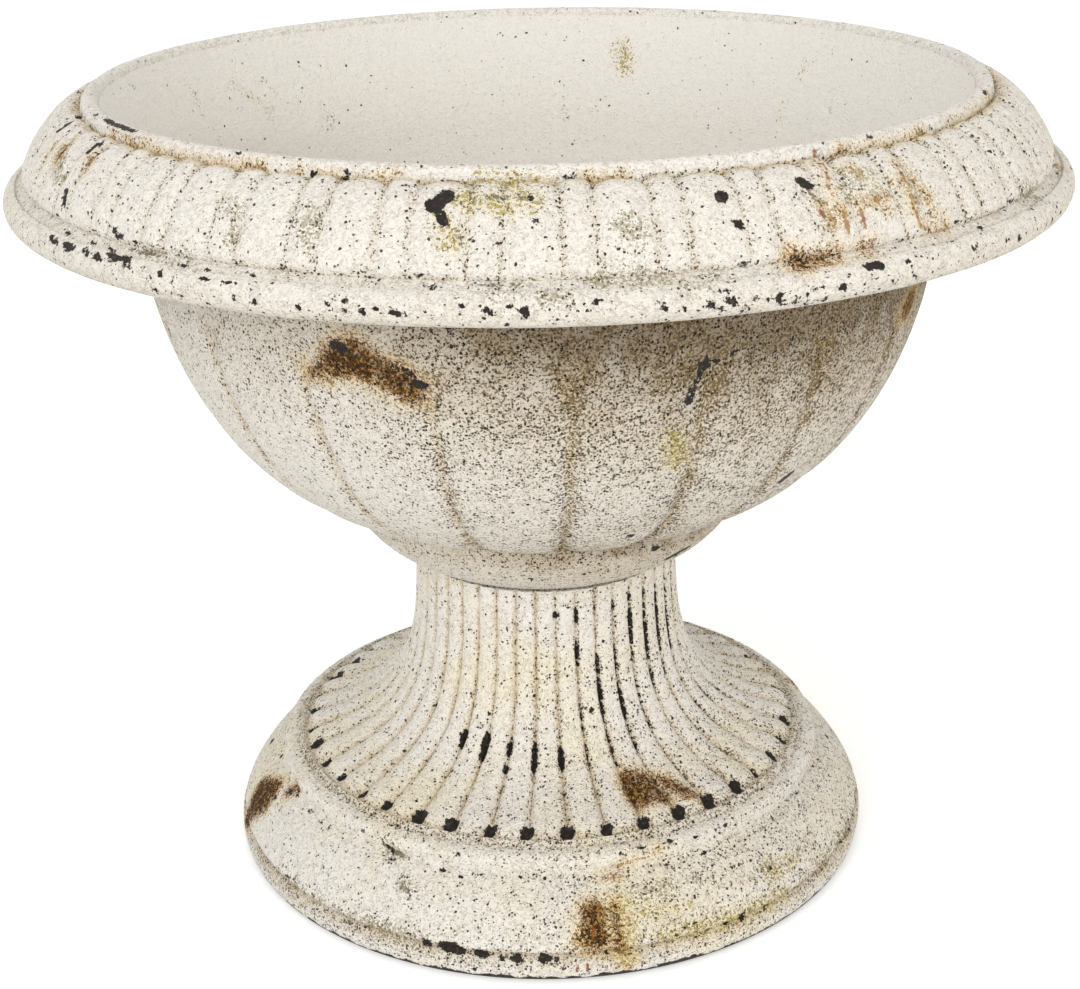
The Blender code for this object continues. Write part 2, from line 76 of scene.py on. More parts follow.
def on_urn(turn, radius, height):
    """Place in metres of a point at this turn (radians), radius and height (millimetres)."""
    return Vector((radius * sin(turn), -radius * cos(turn), height)) * MM


lens = bpy.data.cameras.new("camera")
lens.lens = CAMERA_LENS
camera = bpy.data.objects.new("camera", lens)
bpy.context.collection.objects.link(camera)
aim = Matrix.Rotation(-CAMERA_HEADING, 4, "Z") @ Matrix.Rotation(radians(90) - CAMERA_PITCH, 4, "X")
camera.matrix_world = Matrix.Translation(on_urn(CAMERA_TURN, CAMERA_DISTANCE, CAMERA_HEIGHT)) @ aim
camera.matrix_world = camera.matrix_world @ Matrix.Rotation(CAMERA_ROLL, 4, "Z")
bpy.context.scene.camera = camera
print("camera at", [round(value, 3) for value in camera.matrix_world.translation])

# %% [markdown]
# ## Curves of the half section
#
# A founder's pattern is turned on a lathe, so every casting starts as a half section. Free curves are
# Bezier curves with two handles. A handle is written as the share of the way that it stands out along the
# radius and along the height, so that the curve keeps its character when an end moves. Beads are arcs of
# a circle.

# %% Draw curves and arcs
CURVE_POINTS = 120
ARC_POINTS = 40


def bent(start, end, bend):
    """Points of a curve from start to end, whose handles are shares of the way between them."""
    start, end = np.array(start, float), np.array(end, float)
    first, second = (start + (end - start) * handle for handle in bend)
    share = np.linspace(0, 1, CURVE_POINTS)[:, None]
    rest = 1 - share
    return rest**3 * start + 3 * rest**2 * share * first + 3 * rest * share**2 * second + share**3 * end


def arc(centre, radius, first, last):
    """Points of an arc between two angles in degrees, where 0 points outwards and 90 up."""
    angles = np.radians(np.linspace(first, last, ARC_POINTS))
    return np.array(centre) + radius * np.stack([np.cos(angles), np.sin(angles)], 1)


def evenly(points, spacing):
    """The same line with its points at an even spacing, and the outward normal at each."""
    points = np.array(points, float)
    steps = np.hypot(*np.diff(points, axis=0).T)
    reached = np.concatenate([[0], np.cumsum(steps)])
    along = np.linspace(0, reached[-1], max(2, round(reached[-1] / spacing) + 1))
    even = np.stack([np.interp(along, reached, points[:, i]) for i in (0, 1)], 1)
    ahead = np.gradient(even, axis=0)
    ahead /= np.hypot(*ahead.T)[:, None]
    return even, np.stack([-ahead[:, 1], ahead[:, 0]], 1), along


print("a quarter bead of 5.7 mm has", len(evenly(arc((0, 0), 5.7, 0, 90), 1.5)[0]), "rings")

# %% [markdown]
# ## Carved patterns
#
# Eggs, darts, lobes and reeds are all the same idea: a raised panel with rounded ends, and a narrow
# groove round it. They could be modelled one by one and arrayed round the axis, but then each would have
# to be joined to the wall. Here the wall itself is pressed in: for each point of a ring, the distance to
# the edge of its panel says how far the point sinks below the crest. The rule for a panel is one
# function, and each pattern gives it its own number, width and relief.

# %% Measure how deep a point lies in a panel
def round_over(share):
    """Height of a quarter-round edge, from 0 at its foot to 1 on top."""
    return np.sqrt(1 - (1 - np.clip(share, 0, 1)) ** 2)


def panel_depth(across, along, half_width, length, top_round, end_round):
    """Distance from each point to the edge of a panel with round corners; it is below 0 outside."""
    corner = np.where(along < length / 2, top_round, end_round)
    from_end = np.minimum(along, length - along)
    past_side = np.abs(across) - (half_width - corner)
    past_end = corner - from_end
    in_corner = (past_side > 0) & (past_end > 0)
    straight = np.minimum(half_width - np.abs(across), from_end)
    return np.where(in_corner, corner - np.hypot(past_side, past_end), straight)


def off_middle(angles, count):
    """Angle from the middle of the nearest panel, where the grooves lie at 0 and at each pitch."""
    pitch = 2 * pi / count
    return angles % pitch - pitch / 2


# %% [markdown]
# ## The skin of a casting
#
# A casting's skin is laid ring by ring, like a net pulled over the form: up the inside, over the lip,
# down the outside, and across the seat. Where the pattern is fine a ring has many points, and where it is
# plain a few are enough, so neighbouring rings can differ in number and are joined by triangles. Every
# point also carries values that the finish reads later: how deep it lies in a groove, how pitted the
# paint is there, how much brown it gets from dust and in places from painted shade, and how rough the
# sand of the mould was. The right of the urn stood out in the weather more than the left of its front,
# so pits and dust also go by the side that a point faces, and the extra brown dust on the right is also
# painted shade.

# %% Lay a skin ring by ring
VALUES = ("groove", "pits", "dust", "rough")
# How weathered each side is; on the right the extra dust is also painted shade.
SIDE_WEATHER_AND_SHADE = (
    (0, 25, 50, 90, 180, 240, 295, 328, 345, 360),  # turns
    (1.0, 1.1, 1.1, 0.95, 1.0, 0.7, 0.25, 0.38, 0.72, 1.0),  # how weathered the urn is at each
)
# On the right this extra dust is painted shade as well as dust.
SIDE_DUST_AND_SHADE = 0.6  # more dust on a side, times what it is weathered above 1


def along_line(share, value):
    """A value at a share of a line, from one number or from several spread evenly along it."""
    value = np.atleast_1d(value)
    return np.interp(share, np.linspace(0, 1, len(value)), value)


def exposure_and_shade(angles):
    """How weathered each side is: least at the left of the front and most at the right, where it also adds
    painted shade.
    """
    return np.interp(np.degrees(angles), *SIDE_WEATHER_AND_SHADE)


class Skin:
    """Rings of points joined into one surface."""

    def __init__(self):
        self.points = []
        self.crests = []
        self.values = {name: [] for name in VALUES}
        self.faces = []
        self.rings = []
        self.count = 0

    def ring(self, angles, radius, height, push=(0.0, 0.0), **values):
        """Adds one ring, pushed in by (radius, height). Pushes and values are one for all or one each."""
        size = len(angles)
        out = np.stack([np.sin(angles), -np.cos(angles), np.zeros(size)], 1)
        crest = radius * out + (0, 0, height)
        self.crests.append(crest)
        inwards = np.multiply(push[0], out.T).T
        downwards = np.multiply.outer(np.broadcast_to(push[1], size), (0, 0, 1))
        self.points.append(crest - inwards - downwards)
        for name in VALUES:
            self.values[name].append(np.broadcast_to(values[name], size))
        numbers = np.arange(self.count, self.count + size)
        self.count += size
        if self.rings:
            self.join(*self.rings[-1], angles, numbers)
        self.rings.append((angles, numbers))

    def join(self, angles_a, ring_a, angles_b, ring_b):
        """Quads where both rings have a point at the next angle, and triangles elsewhere."""
        size_a, size_b = len(ring_a), len(ring_b)
        if size_a == size_b:
            self.faces += np.stack([ring_a, np.roll(ring_a, -1), np.roll(ring_b, -1), ring_b], 1).tolist()
            return
        turns_a = np.append(angles_a, [2 * pi, np.inf])
        turns_b = np.append(angles_b, [2 * pi, np.inf])
        i = j = 0
        while i < size_a or j < size_b:
            face = [int(ring_a[i % size_a])]
            next_a, next_b = turns_a[i + 1], turns_b[j + 1]
            here_b = int(ring_b[j % size_b])
            if next_a <= next_b + 1e-6:
                i += 1
                face.append(int(ring_a[i % size_a]))
            if next_b <= next_a + 1e-6:
                j += 1
                face.append(int(ring_b[j % size_b]))
            self.faces.append(face + [here_b])

    def lay(self, line, spacing, columns, relief=None, pits=0.4, dust=0.0, rough=1.0, sided=0.0):
        """Lays rings along a line. Each value is one number, or several spread evenly along it."""
        points, normals, along = evenly(line, spacing)
        angles = np.arange(columns) * 2 * pi / columns
        side = 1 + sided * (exposure_and_shade(angles) - 1)
        given = {"pits": pits, "dust": dust, "rough": rough}
        for (radius, height), (out, up), reached in zip(points, normals, along):
            sunk = groove = worn = 0.0
            if relief:
                sunk, groove, worn = relief(angles, radius, reached, along[-1])
            share = reached / along[-1]
            values = {name: along_line(share, value) for name, value in given.items()}
            # Pits and dust grow with the side that a point faces; on the right the extra dust is painted
            # shade.
            values["pits"] = (values["pits"] + worn) * side
            values["dust"] = values["dust"] * side + SIDE_DUST_AND_SHADE * np.maximum(side - 1, 0)
            self.ring(angles, radius, height, (out * sunk, up * sunk), groove=groove, **values)


# %% [markdown]
# ## Holes through a flat plate
#
# The floor of the bowl and the web of the pedestal are flat plates with one bolt hole and three drain
# holes. A Boolean would cut them, but on a dense skin it is slow. It is quicker to put the rims of the
# holes in first and let Blender fill the flat faces between them and the outer ring.

# %% Close a skin with pierced plates
HOLE_POINTS = 40
DRAINS = 3
DRAIN_CIRCLE = 26.0
BOLT_HOLE = 5.5


def pierce(mesh, first, last, drain_radius):
    """Fills the skin's first and last rings with flat plates and joins these with round holes."""
    places = [(0.0, 0.0, BOLT_HOLE)]
    for i in range(DRAINS):
        turn = 2 * pi * i / DRAINS
        places.append((DRAIN_CIRCLE * sin(turn), -DRAIN_CIRCLE * cos(turn), drain_radius))
    plates = []
    for ring in (first, last):
        edges = [mesh.edges.get((a, b)) for a, b in zip(ring, ring[1:] + ring[:1])]
        plates.append((ring[0].co.z, edges))
    for x, y, radius in places:
        rims = []
        for height, edges in plates:
            turns = [2 * pi * i / HOLE_POINTS for i in range(HOLE_POINTS)]
            rims.append([mesh.verts.new((x + radius * sin(t), y - radius * cos(t), height)) for t in turns])
        for i in range(HOLE_POINTS):
            j = (i + 1) % HOLE_POINTS
            mesh.faces.new((rims[0][i], rims[0][j], rims[1][j], rims[1][i]))
            for rim, (height, edges) in zip(rims, plates):
                edges.append(mesh.edges.get((rim[i], rim[j])))
    for height, edges in plates:
        bmesh.ops.triangle_fill(mesh, use_beauty=True, use_dissolve=False, edges=edges, normal=(0, 0, 1))


def casting_mesh(name, skin, drain_radius):
    """A closed mesh in millimetres from a skin, with its values as attributes."""
    mesh = bpy.data.meshes.new(name)
    mesh.from_pydata(np.concatenate(skin.points).tolist(), [], skin.faces)
    for value in VALUES:
        attribute = mesh.attributes.new(value, "FLOAT", "POINT")
        attribute.data.foreach_set("value", np.concatenate(skin.values[value]).astype(np.float32))
    work = bmesh.new()
    work.from_mesh(mesh)
    work.verts.ensure_lookup_table()
    first, last = ([work.verts[i] for i in skin.rings[end][1]] for end in (0, -1))
    pierce(work, first, last, drain_radius)
    bmesh.ops.recalc_face_normals(work, faces=work.faces)
    work.to_mesh(mesh)
    work.free()
    return mesh


# %% [markdown]
# ## The rim and its eggs and darts
#
# The rim rolls out from the lip to a stout bead. Forty-two eggs lie on it, low and broad with arched
# tops, and between each two stands a narrow flat bar, the dart. Rain stands in a gutter behind the lip
# and leaves a tan stain. Coats of paint have filled the relief, so it is shallow, and only its grooves
# show clearly.

# %% Set out the rim
LIP = ((157.3, 298.1), 3.2)
BAND = bent((161.0, 298.2), (183.4, 274.2), ((0.42, 0.0), (0.92, 0.65)))
STRIP = ((181.5, 273.8), (184.4, 272.3), (184.9, 271.6))
RIM_BEAD = ((184.3, 266.6), 5.68)
EGGS = 42
EGG_RELIEF = 1.8
EGG_EDGE = 5.0  # width of an egg's round shoulder
EGG_GROOVE = 1.4  # how far the stain of a groove reaches
EGG_WEAR = 0.28
DART_SHARE = 0.34
DART_SLOPE = 1.6
GUTTER_WIDTH = 3.6
GUTTER_STAIN = 1.3


def egg_and_dart(angles, radius, along, length):
    """How far each point of a ring sinks, how far it lies in a groove, and how worn it is there."""
    pitch = 2 * pi * radius / EGGS
    across = np.abs(off_middle(angles, EGGS) * radius)
    egg_half, dart_half = pitch * (1 - DART_SHARE) / 2, pitch * DART_SHARE / 2
    egg = panel_depth(across, along, egg_half, length, egg_half, EGG_EDGE / 2)
    dart = panel_depth(pitch / 2 - across, along, dart_half, length, dart_half / 2, dart_half / 2)
    rise = np.maximum(round_over(egg / EGG_EDGE), round_over(DART_SLOPE * dart / dart_half))
    groove = np.clip(1 - np.maximum(egg, dart) / EGG_GROOVE, 0, 1)
    gutter = GUTTER_STAIN * np.clip(1.3 - along / GUTTER_WIDTH, 0, 1)
    # The tan in the grooves round the eggs and darts is partly stain and partly painted shade.
    return EGG_RELIEF * (1 - rise), np.maximum(0.5 * groove, gutter), EGG_WEAR * groove


# %% [markdown]
# ## The bowl's lobes and the collar
#
# The body swells in twenty lobes with arched tops. They end in round feet that overhang a plain convex
# collar. The lobes are almost flat across, and only a narrow crease divides them.

# %% Set out the body, the collar and the inside
BODY = bent((145.9, 254.6), (77.9, 145.9), ((0.06, 0.46), (0.37, 0.87)))
SEAT = 120.0
SEAT_EDGE = 52.0
COLLAR = bent((75.5, 143.5), (SEAT_EDGE, SEAT), ((0.05, 0.40), (0.54, 0.82)))
LOBES = 20
LOBE_RELIEF = (0.4, 1.2, 1.7, 3.0)  # from the top of the body to its bottom
LOBE_EDGE = 8.5
LOBE_TOP_GAP = 13.6
LOBE_END_ARCH = 4.5
LOBE_END_EDGE = 3.0
CREASE_WIDTH = 1.2
# The dirt in a crease is partly painted shade.
CREASE_STAIN_AND_SHADE = (0.8, 2.6)  # how strong the dirt in a crease is, and how far it reaches
CREASE_WEAR = (0.26, 5.0)
END_WEAR_AND_SHADE = (0.4, 3.0)
BODY_WALL = 7.1
LIP_INSIDE = (154.1, 298.1)
FLOOR = 133.8
FLOOR_EDGE = 54.0
RECESS = (36.5, 124.8)
UNDER_RIM = ((178.6, 266.0), (178.2, 270.0), (174.5, 279.0), (167.0, 287.5), (159.5, 290.4), (154.0, 287.0))
RIM_WALL = bent((152.6, 281.0), (145.9, 254.6), ((0.55, 0.33), (0.95, 0.70)))


def near_edge(depth, strength, reach):
    """A value that is this strong at the edge of a panel and fades to 0 at its reach."""
    return strength * np.clip(1 - depth / reach, 0, 1)


def lobes(angles, radius, along, length):
    """How far each point of a ring sinks between the lobes, its share of a crease or of painted shadow at a
    foot, and its wear.
    """
    half_width = pi * radius / LOBES - CREASE_WIDTH / 2
    across = off_middle(angles, LOBES) * radius
    depth = panel_depth(across, along - LOBE_TOP_GAP, half_width, 2 * length, half_width, 0.0)
    to_end = length - along - LOBE_END_ARCH * (across / half_width) ** 2
    rise = np.minimum(round_over(depth / LOBE_EDGE), round_over(to_end / LOBE_END_EDGE))
    below_top = np.clip(along / LOBE_TOP_GAP - 1.2, 0, 1)
    # Along the lobes' feet a tan line and dark specks are painted shadow, where the feet overhang the
    # collar.
    crease = np.maximum(near_edge(depth, *CREASE_STAIN_AND_SHADE) * below_top, np.clip(1.3 - to_end, 0, 1))
    worn = near_edge(depth, *CREASE_WEAR) * below_top + near_edge(to_end, *END_WEAR_AND_SHADE)
    return along_line(along / length, LOBE_RELIEF) * (1 - rise), crease, worn


# %% [markdown]
# The body is most worn and dusty under the rim and at its foot, and the cleanest part is its widest
# swell. The brown under the rim and where the lobes' feet overhang the collar is partly dust and partly
# painted shade. The inside of the bowl has kept its paint. Rings are counted in points for each egg or
# lobe, so that each pattern comes out the same all round.

# %% Lay the bowl
# Dust is high under the rim, at the body's foot and at the collar's top; there it is partly painted shade.
BODY_PITS = (0.53, 0.42, 0.29, 0.20, 0.18, 0.20, 0.28)  # from the top of the body to its bottom
BODY_DUST_AND_SHADE = (1.5, 0.92, 0.5, 0.26, 0.18, 0.32, 0.85)
COLLAR_PITS = (0.24, 0.14, 0.12, 0.18)
COLLAR_DUST_AND_SHADE = (0.9, 0.45, 0.3, 0.5)
PLAIN_RING = 3 * EGGS
INSIDE_RING = 5 * EGGS
UNDER_RING = 9 * EGGS
EGG_RING = 16 * EGGS
LOBE_RING = 26 * LOBES


def bowl_skin():
    """The bowl's skin, from the edge of its floor up the inside and down the outside to the recess."""
    body, normals, _ = evenly(BODY, 4.0)
    inside = (body - normals * BODY_WALL)[::-1]
    fillet = bent((FLOOR_EDGE, FLOOR), inside[0], ((0.5, 0.0), (0.75, 0.55)))
    throat = bent(inside[-1], LIP_INSIDE, ((0.11, 0.40), (0.69, 0.77)))
    skin = Skin()
    skin.lay(fillet, 3.0, PLAIN_RING, pits=0.10, dust=0.5, rough=0.5)
    skin.lay(inside[1:], 4.5, INSIDE_RING, pits=(0.03, 0.004), dust=(0.2, 0.0), rough=0.15)
    skin.lay(throat[1:], 3.0, INSIDE_RING, pits=0.004, dust=0.0, rough=0.15)
    skin.lay(arc(*LIP, 180, 0), 1.3, EGG_RING, pits=(0.01, 0.03), rough=0.6)
    skin.lay(BAND, 1.5, EGG_RING, egg_and_dart, pits=(0.05, 0.03), dust=0.12, rough=0.5, sided=0.3)
    skin.lay(STRIP, 1.2, EGG_RING, pits=0.05, dust=(0.1, 0.3), rough=0.7)
    skin.lay(arc(*RIM_BEAD, 78, -60), 1.4, EGG_RING, pits=(0.02, 0.05), dust=(0.1, 0.3), rough=0.6)
    # The dust under the bead and under the rim is partly painted shade.
    skin.lay(arc(*RIM_BEAD, -63, -95), 1.4, EGG_RING, pits=0.3, dust=0.5)
    skin.lay(UNDER_RIM, 4.0, UNDER_RING, pits=0.6, dust=1.3, sided=0.6)
    skin.lay(RIM_WALL, 3.0, UNDER_RING, pits=0.6, dust=1.4, sided=0.6)
    skin.lay(BODY, 2.2, LOBE_RING, lobes, pits=BODY_PITS, dust=BODY_DUST_AND_SHADE, rough=0.5, sided=1.0)
    skin.lay(COLLAR, 2.0, LOBE_RING, pits=COLLAR_PITS, dust=COLLAR_DUST_AND_SHADE, rough=0.6, sided=0.7)
    skin.lay(((SEAT_EDGE, SEAT), (RECESS[0], SEAT)), 8.0, PLAIN_RING, rough=0.0)
    skin.lay(((RECESS[0], SEAT + 0.5), RECESS), 2.0, PLAIN_RING, rough=0.0)
    return skin


bowl = bowl_skin()
print("the bowl's skin has", len(bowl.rings), "rings with", bowl.count, "points")

# %% [markdown]
# ## The reeded stem and the foot
#
# Forty-two reeds run down the stem and flare out like the folds of a skirt. Each is a half round that
# ends in a round nose, so that a small three-cornered pocket is left between every two noses. Below them
# lie a soft ring, a sloping foot and a plain rounded edge.

# %% Set out the pedestal
SHOULDER = 118.4
STEM = bent((51.0, SHOULDER), (98.8, 44.2), ((0.03, 0.60), (0.09, 0.87)))
REEDS = 42
REED_RELIEF = (1.3, 2.6)  # at the neck and at the flare
REED_GROOVE = 0.42  # share of half a reed that the stain of its groove takes
RING = ((103.26, 35.59), 4.6)
SLOPE = bent((107.3, 32.6), (125.2, 12.2), ((0.45, 0.22), (0.84, 0.68)))
EDGE = bent((124.6, 10.8), (126.6, 6.0), ((0.55, 0.0), (1.0, 0.5)))
EDGE_FOOT = bent((126.6, 6.0), (123.4, 0.0), ((0.0, 0.55), (0.25, 1.0)))
LAND_INSIDE = 112.6
SPIGOT = (36.0, 124.4)
WEB = 112.4
STEM_WALL = 8.8
GASKET_SEAT = ((37.0, SHOULDER), (48.4, SHOULDER))
COVE = ((99.9, 42.7), (102.2, 40.6))  # between the noses of the reeds and the ring
LAND = ((122.0, 0.0), (LAND_INSIDE, 0.0))
WEB_CORNER = ((42.2, WEB + 3), (40.0, WEB))
REED_RING = 14 * REEDS
LAND_RING = 7 * REEDS
HOLLOW_RING = 4 * REEDS
WEB_RING = 2 * REEDS


def reeds(angles, radius, along, length):
    """How far each point of a ring sinks between the reeds, and how far it lies in a groove."""
    half_width = pi * radius / REEDS
    across = off_middle(angles, REEDS) * radius
    # The reeds run on above the shoulder, so only their lower ends are round.
    depth = panel_depth(across, along + length, half_width, 2 * length, 0.0, half_width)
    relief = np.interp(along / length, (0, 1), REED_RELIEF)
    groove = np.clip(1 - depth / (REED_GROOVE * half_width), 0, 1)
    # The tan in a reed's groove is partly stain and partly painted shade.
    return relief * (1 - round_over(depth / half_width)), 0.8 * groove, 0.15 * groove


def pedestal_skin():
    """The pedestal's skin, from its spigot down the outside and up the inside to the web."""
    stem, normals, _ = evenly(STEM, 4.0)
    inside = (stem - normals * STEM_WALL)[::-1]
    skin = Skin()
    skin.lay((SPIGOT, (SPIGOT[0], SHOULDER)), 3.0, PLAIN_RING, rough=0.0)
    skin.lay(GASKET_SEAT, 4.0, PLAIN_RING, rough=0.0)
    skin.lay(STEM, 1.5, REED_RING, reeds, pits=(0.07, 0.12), dust=(0.04, 0.0), rough=0.5, sided=0.7)
    skin.lay(COVE, 1.4, REED_RING, pits=0.24, dust=0.3)
    skin.lay(arc(*RING, 88, -28), 1.4, REED_RING, pits=0.10, dust=(0.05, 0.0), rough=0.6, sided=0.6)
    skin.lay(SLOPE, 1.45, REED_RING, pits=(0.15, 0.11, 0.17), dust=(0.15, 0.05), rough=0.6, sided=0.9)
    skin.lay(EDGE, 1.2, REED_RING, pits=0.2, dust=(0.8, 0.1), rough=0.7)
    skin.lay(EDGE_FOOT[6:], 1.2, REED_RING, pits=0.12, rough=(0.7, 0.0))
    skin.lay(LAND, 5.0, LAND_RING, rough=0.0)
    foot_inside = ((LAND_INSIDE, 1.0), (LAND_INSIDE, 11.0), (103.2, 30.6), inside[0])
    skin.lay(foot_inside, 4.0, HOLLOW_RING, pits=0.6, dust=0.8)
    skin.lay(inside[1:], 4.0, HOLLOW_RING, pits=0.6, dust=0.8)
    skin.lay(WEB_CORNER, 3.0, WEB_RING, pits=0.6, dust=0.8)
    return skin


pedestal = pedestal_skin()
print("the pedestal's skin has", len(pedestal.rings), "rings with", pedestal.count, "points")

# %% [markdown]
# ## Damage, written down as marks
#
# A real urn is damaged in particular places: where it was knocked, where water runs and where soil sat. A
# mark is a width in millimetres and a path of (turn, height) points over the skin. One point makes a spot
# and several make a streak that tapers at its ends. Each kind of damage becomes a value on the skin: how
# far inside the nearest mark a point lies. The finish turns that smooth value into a ragged edge. A stain
# also colours the paint some millimetres outside its mark, so a mark with a width below 0 leaves only the
# faint outer stain.

# %% Measure the distance to the marks
FAR = -10.0  # value of a point that no mark comes near
MM_PER_DEGREE = 2.2  # length of a path across the urn, roughly
END_WIDTH = 0.3  # share of its width that a streak keeps at its ends


def outside_line(*lines):
    """One line down the outside of a casting, for looking up the radius at a height."""
    line = np.concatenate([np.array(points, float) for points in lines])
    return line[np.argsort(line[:, 1], kind="stable")]


def path_points(path, line):
    """Points in space every millimetre or so along a mark's path."""
    path = np.array(path, float).reshape(-1, 2)
    if len(path) > 1:
        legs = np.hypot(MM_PER_DEGREE * np.diff(path[:, 0]), np.diff(path[:, 1]))
        reached = np.concatenate([[0], np.cumsum(legs)])
        along = np.linspace(0, reached[-1], 2 + int(reached[-1]))
        path = np.stack([np.interp(along, reached, path[:, i]) for i in (0, 1)], 1)
    turns, heights = np.radians(path[:, 0]), path[:, 1]
    radius = np.interp(heights, line[:, 1], line[:, 0])
    return np.stack([radius * np.sin(turns), -radius * np.cos(turns), heights], 1)


def inside_marks(places, marks, line):
    """For each place, how many millimetres it lies inside the nearest mark; below 0 outside."""
    field = np.full(len(places), FAR)
    for width, *path in marks:
        spine = path_points(path, line)
        bulge = np.sin(np.linspace(0, pi, len(spine)))
        taper = np.minimum(1, END_WIDTH + 1.2 * bulge) if len(spine) > 1 else 1
        reach = width / 2 - FAR
        near = np.all((places > spine.min(0) - reach) & (places < spine.max(0) + reach), 1)
        gaps = np.linalg.norm(places[near][:, None] - spine[None], axis=2)
        field[near] = np.maximum(field[near], (width / 2 * taper - gaps).max(1))
    return field


# %% [markdown]
# ## Weathering the shape
#
# The sand of the mould left the iron uneven, and lost paint leaves a dent with an edge. Both are real
# shape, so they move the points of the skin, always inwards, and the urn never grows past its true size.
# A Displace modifier with a texture could do this too, but the roughness has to fade on machined faces
# and the chips have to follow the marks, which plain arithmetic on the points does in one pass.

# %% Ways to roughen a casting and finish it
COARSE_GRAIN = (15.0, 0.40)  # wave and depth of the uneven iron
FINE_GRAIN = (2.8, 0.22)
CHIP_DEPTH = 0.55
SHARP = 55  # degrees of a corner that stays sharp


def grain(places, wave, depth):
    """A dip between 0 and depth at each place, in waves of this length."""
    scale = 1 / wave
    return np.array([(1 - noise.noise(Vector(place) * scale)) * depth / 2 for place in places])


def weather(mesh, skin, outer_marks, outer_line, inner_marks, inner_line):
    """Adds a value for each kind of damage, and sinks each point by the grain of the iron and its chips."""
    count = len(mesh.vertices)
    places = np.empty(count * 3, np.float32)
    normals = np.empty(count * 3, np.float32)
    rough = np.empty(count, np.float32)
    mesh.vertices.foreach_get("co", places)
    mesh.vertices.foreach_get("normal", normals)
    mesh.attributes["rough"].data.foreach_get("value", rough)
    places, normals = places.reshape(-1, 3).astype(float), normals.reshape(-1, 3)
    sunk = (grain(places, *COARSE_GRAIN) + grain(places, *FINE_GRAIN)) * rough
    crests = places.copy()
    crests[:skin.count] = np.concatenate(skin.crests)
    inwards = (normals[:, :2] * crests[:, :2]).sum(1) < -0.5 * np.hypot(*crests[:, :2].T)
    for kind, marks in outer_marks.items():
        outer = inside_marks(crests, marks, outer_line)
        inner = inside_marks(crests, inner_marks.get(kind, []), inner_line)
        field = np.where(inwards, inner, outer)
        attribute = mesh.attributes.new(kind, "FLOAT", "POINT")
        attribute.data.foreach_set("value", field.astype(np.float32))
        if kind == "chip":
            sunk += CHIP_DEPTH * np.clip(0.5 + field, 0, 1)
    places -= normals * sunk[:, None]
    mesh.vertices.foreach_set("co", (places * MM).astype(np.float32).ravel())
    mesh.update()


def finish_casting(name, mesh, material, node):
    """Links the casting, smooth except at its sharp corners, in the place of its CAD node."""
    mesh.shade_smooth()
    mesh.set_sharp_from_angle(angle=radians(SHARP))
    mesh.materials.append(material)
    piece = bpy.data.objects.new(name, mesh)
    bpy.context.collection.objects.link(piece)
    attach(piece, "root")
    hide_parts(node)
    print(name, "has", sum(len(face.vertices) - 2 for face in mesh.polygons), "triangles")


# %% [markdown]
# ## Where the urn is worn
#
# These are the urn's own scars. Bare spots are chips down to dark iron. Rust has bled from a few of them,
# and thin red runs follow the grooves of the rim. Mustard lichen and dark moss grow on the rim, and damp
# has left olive stains above the bead. Soil and wet leaves have stained the inside in a few places.

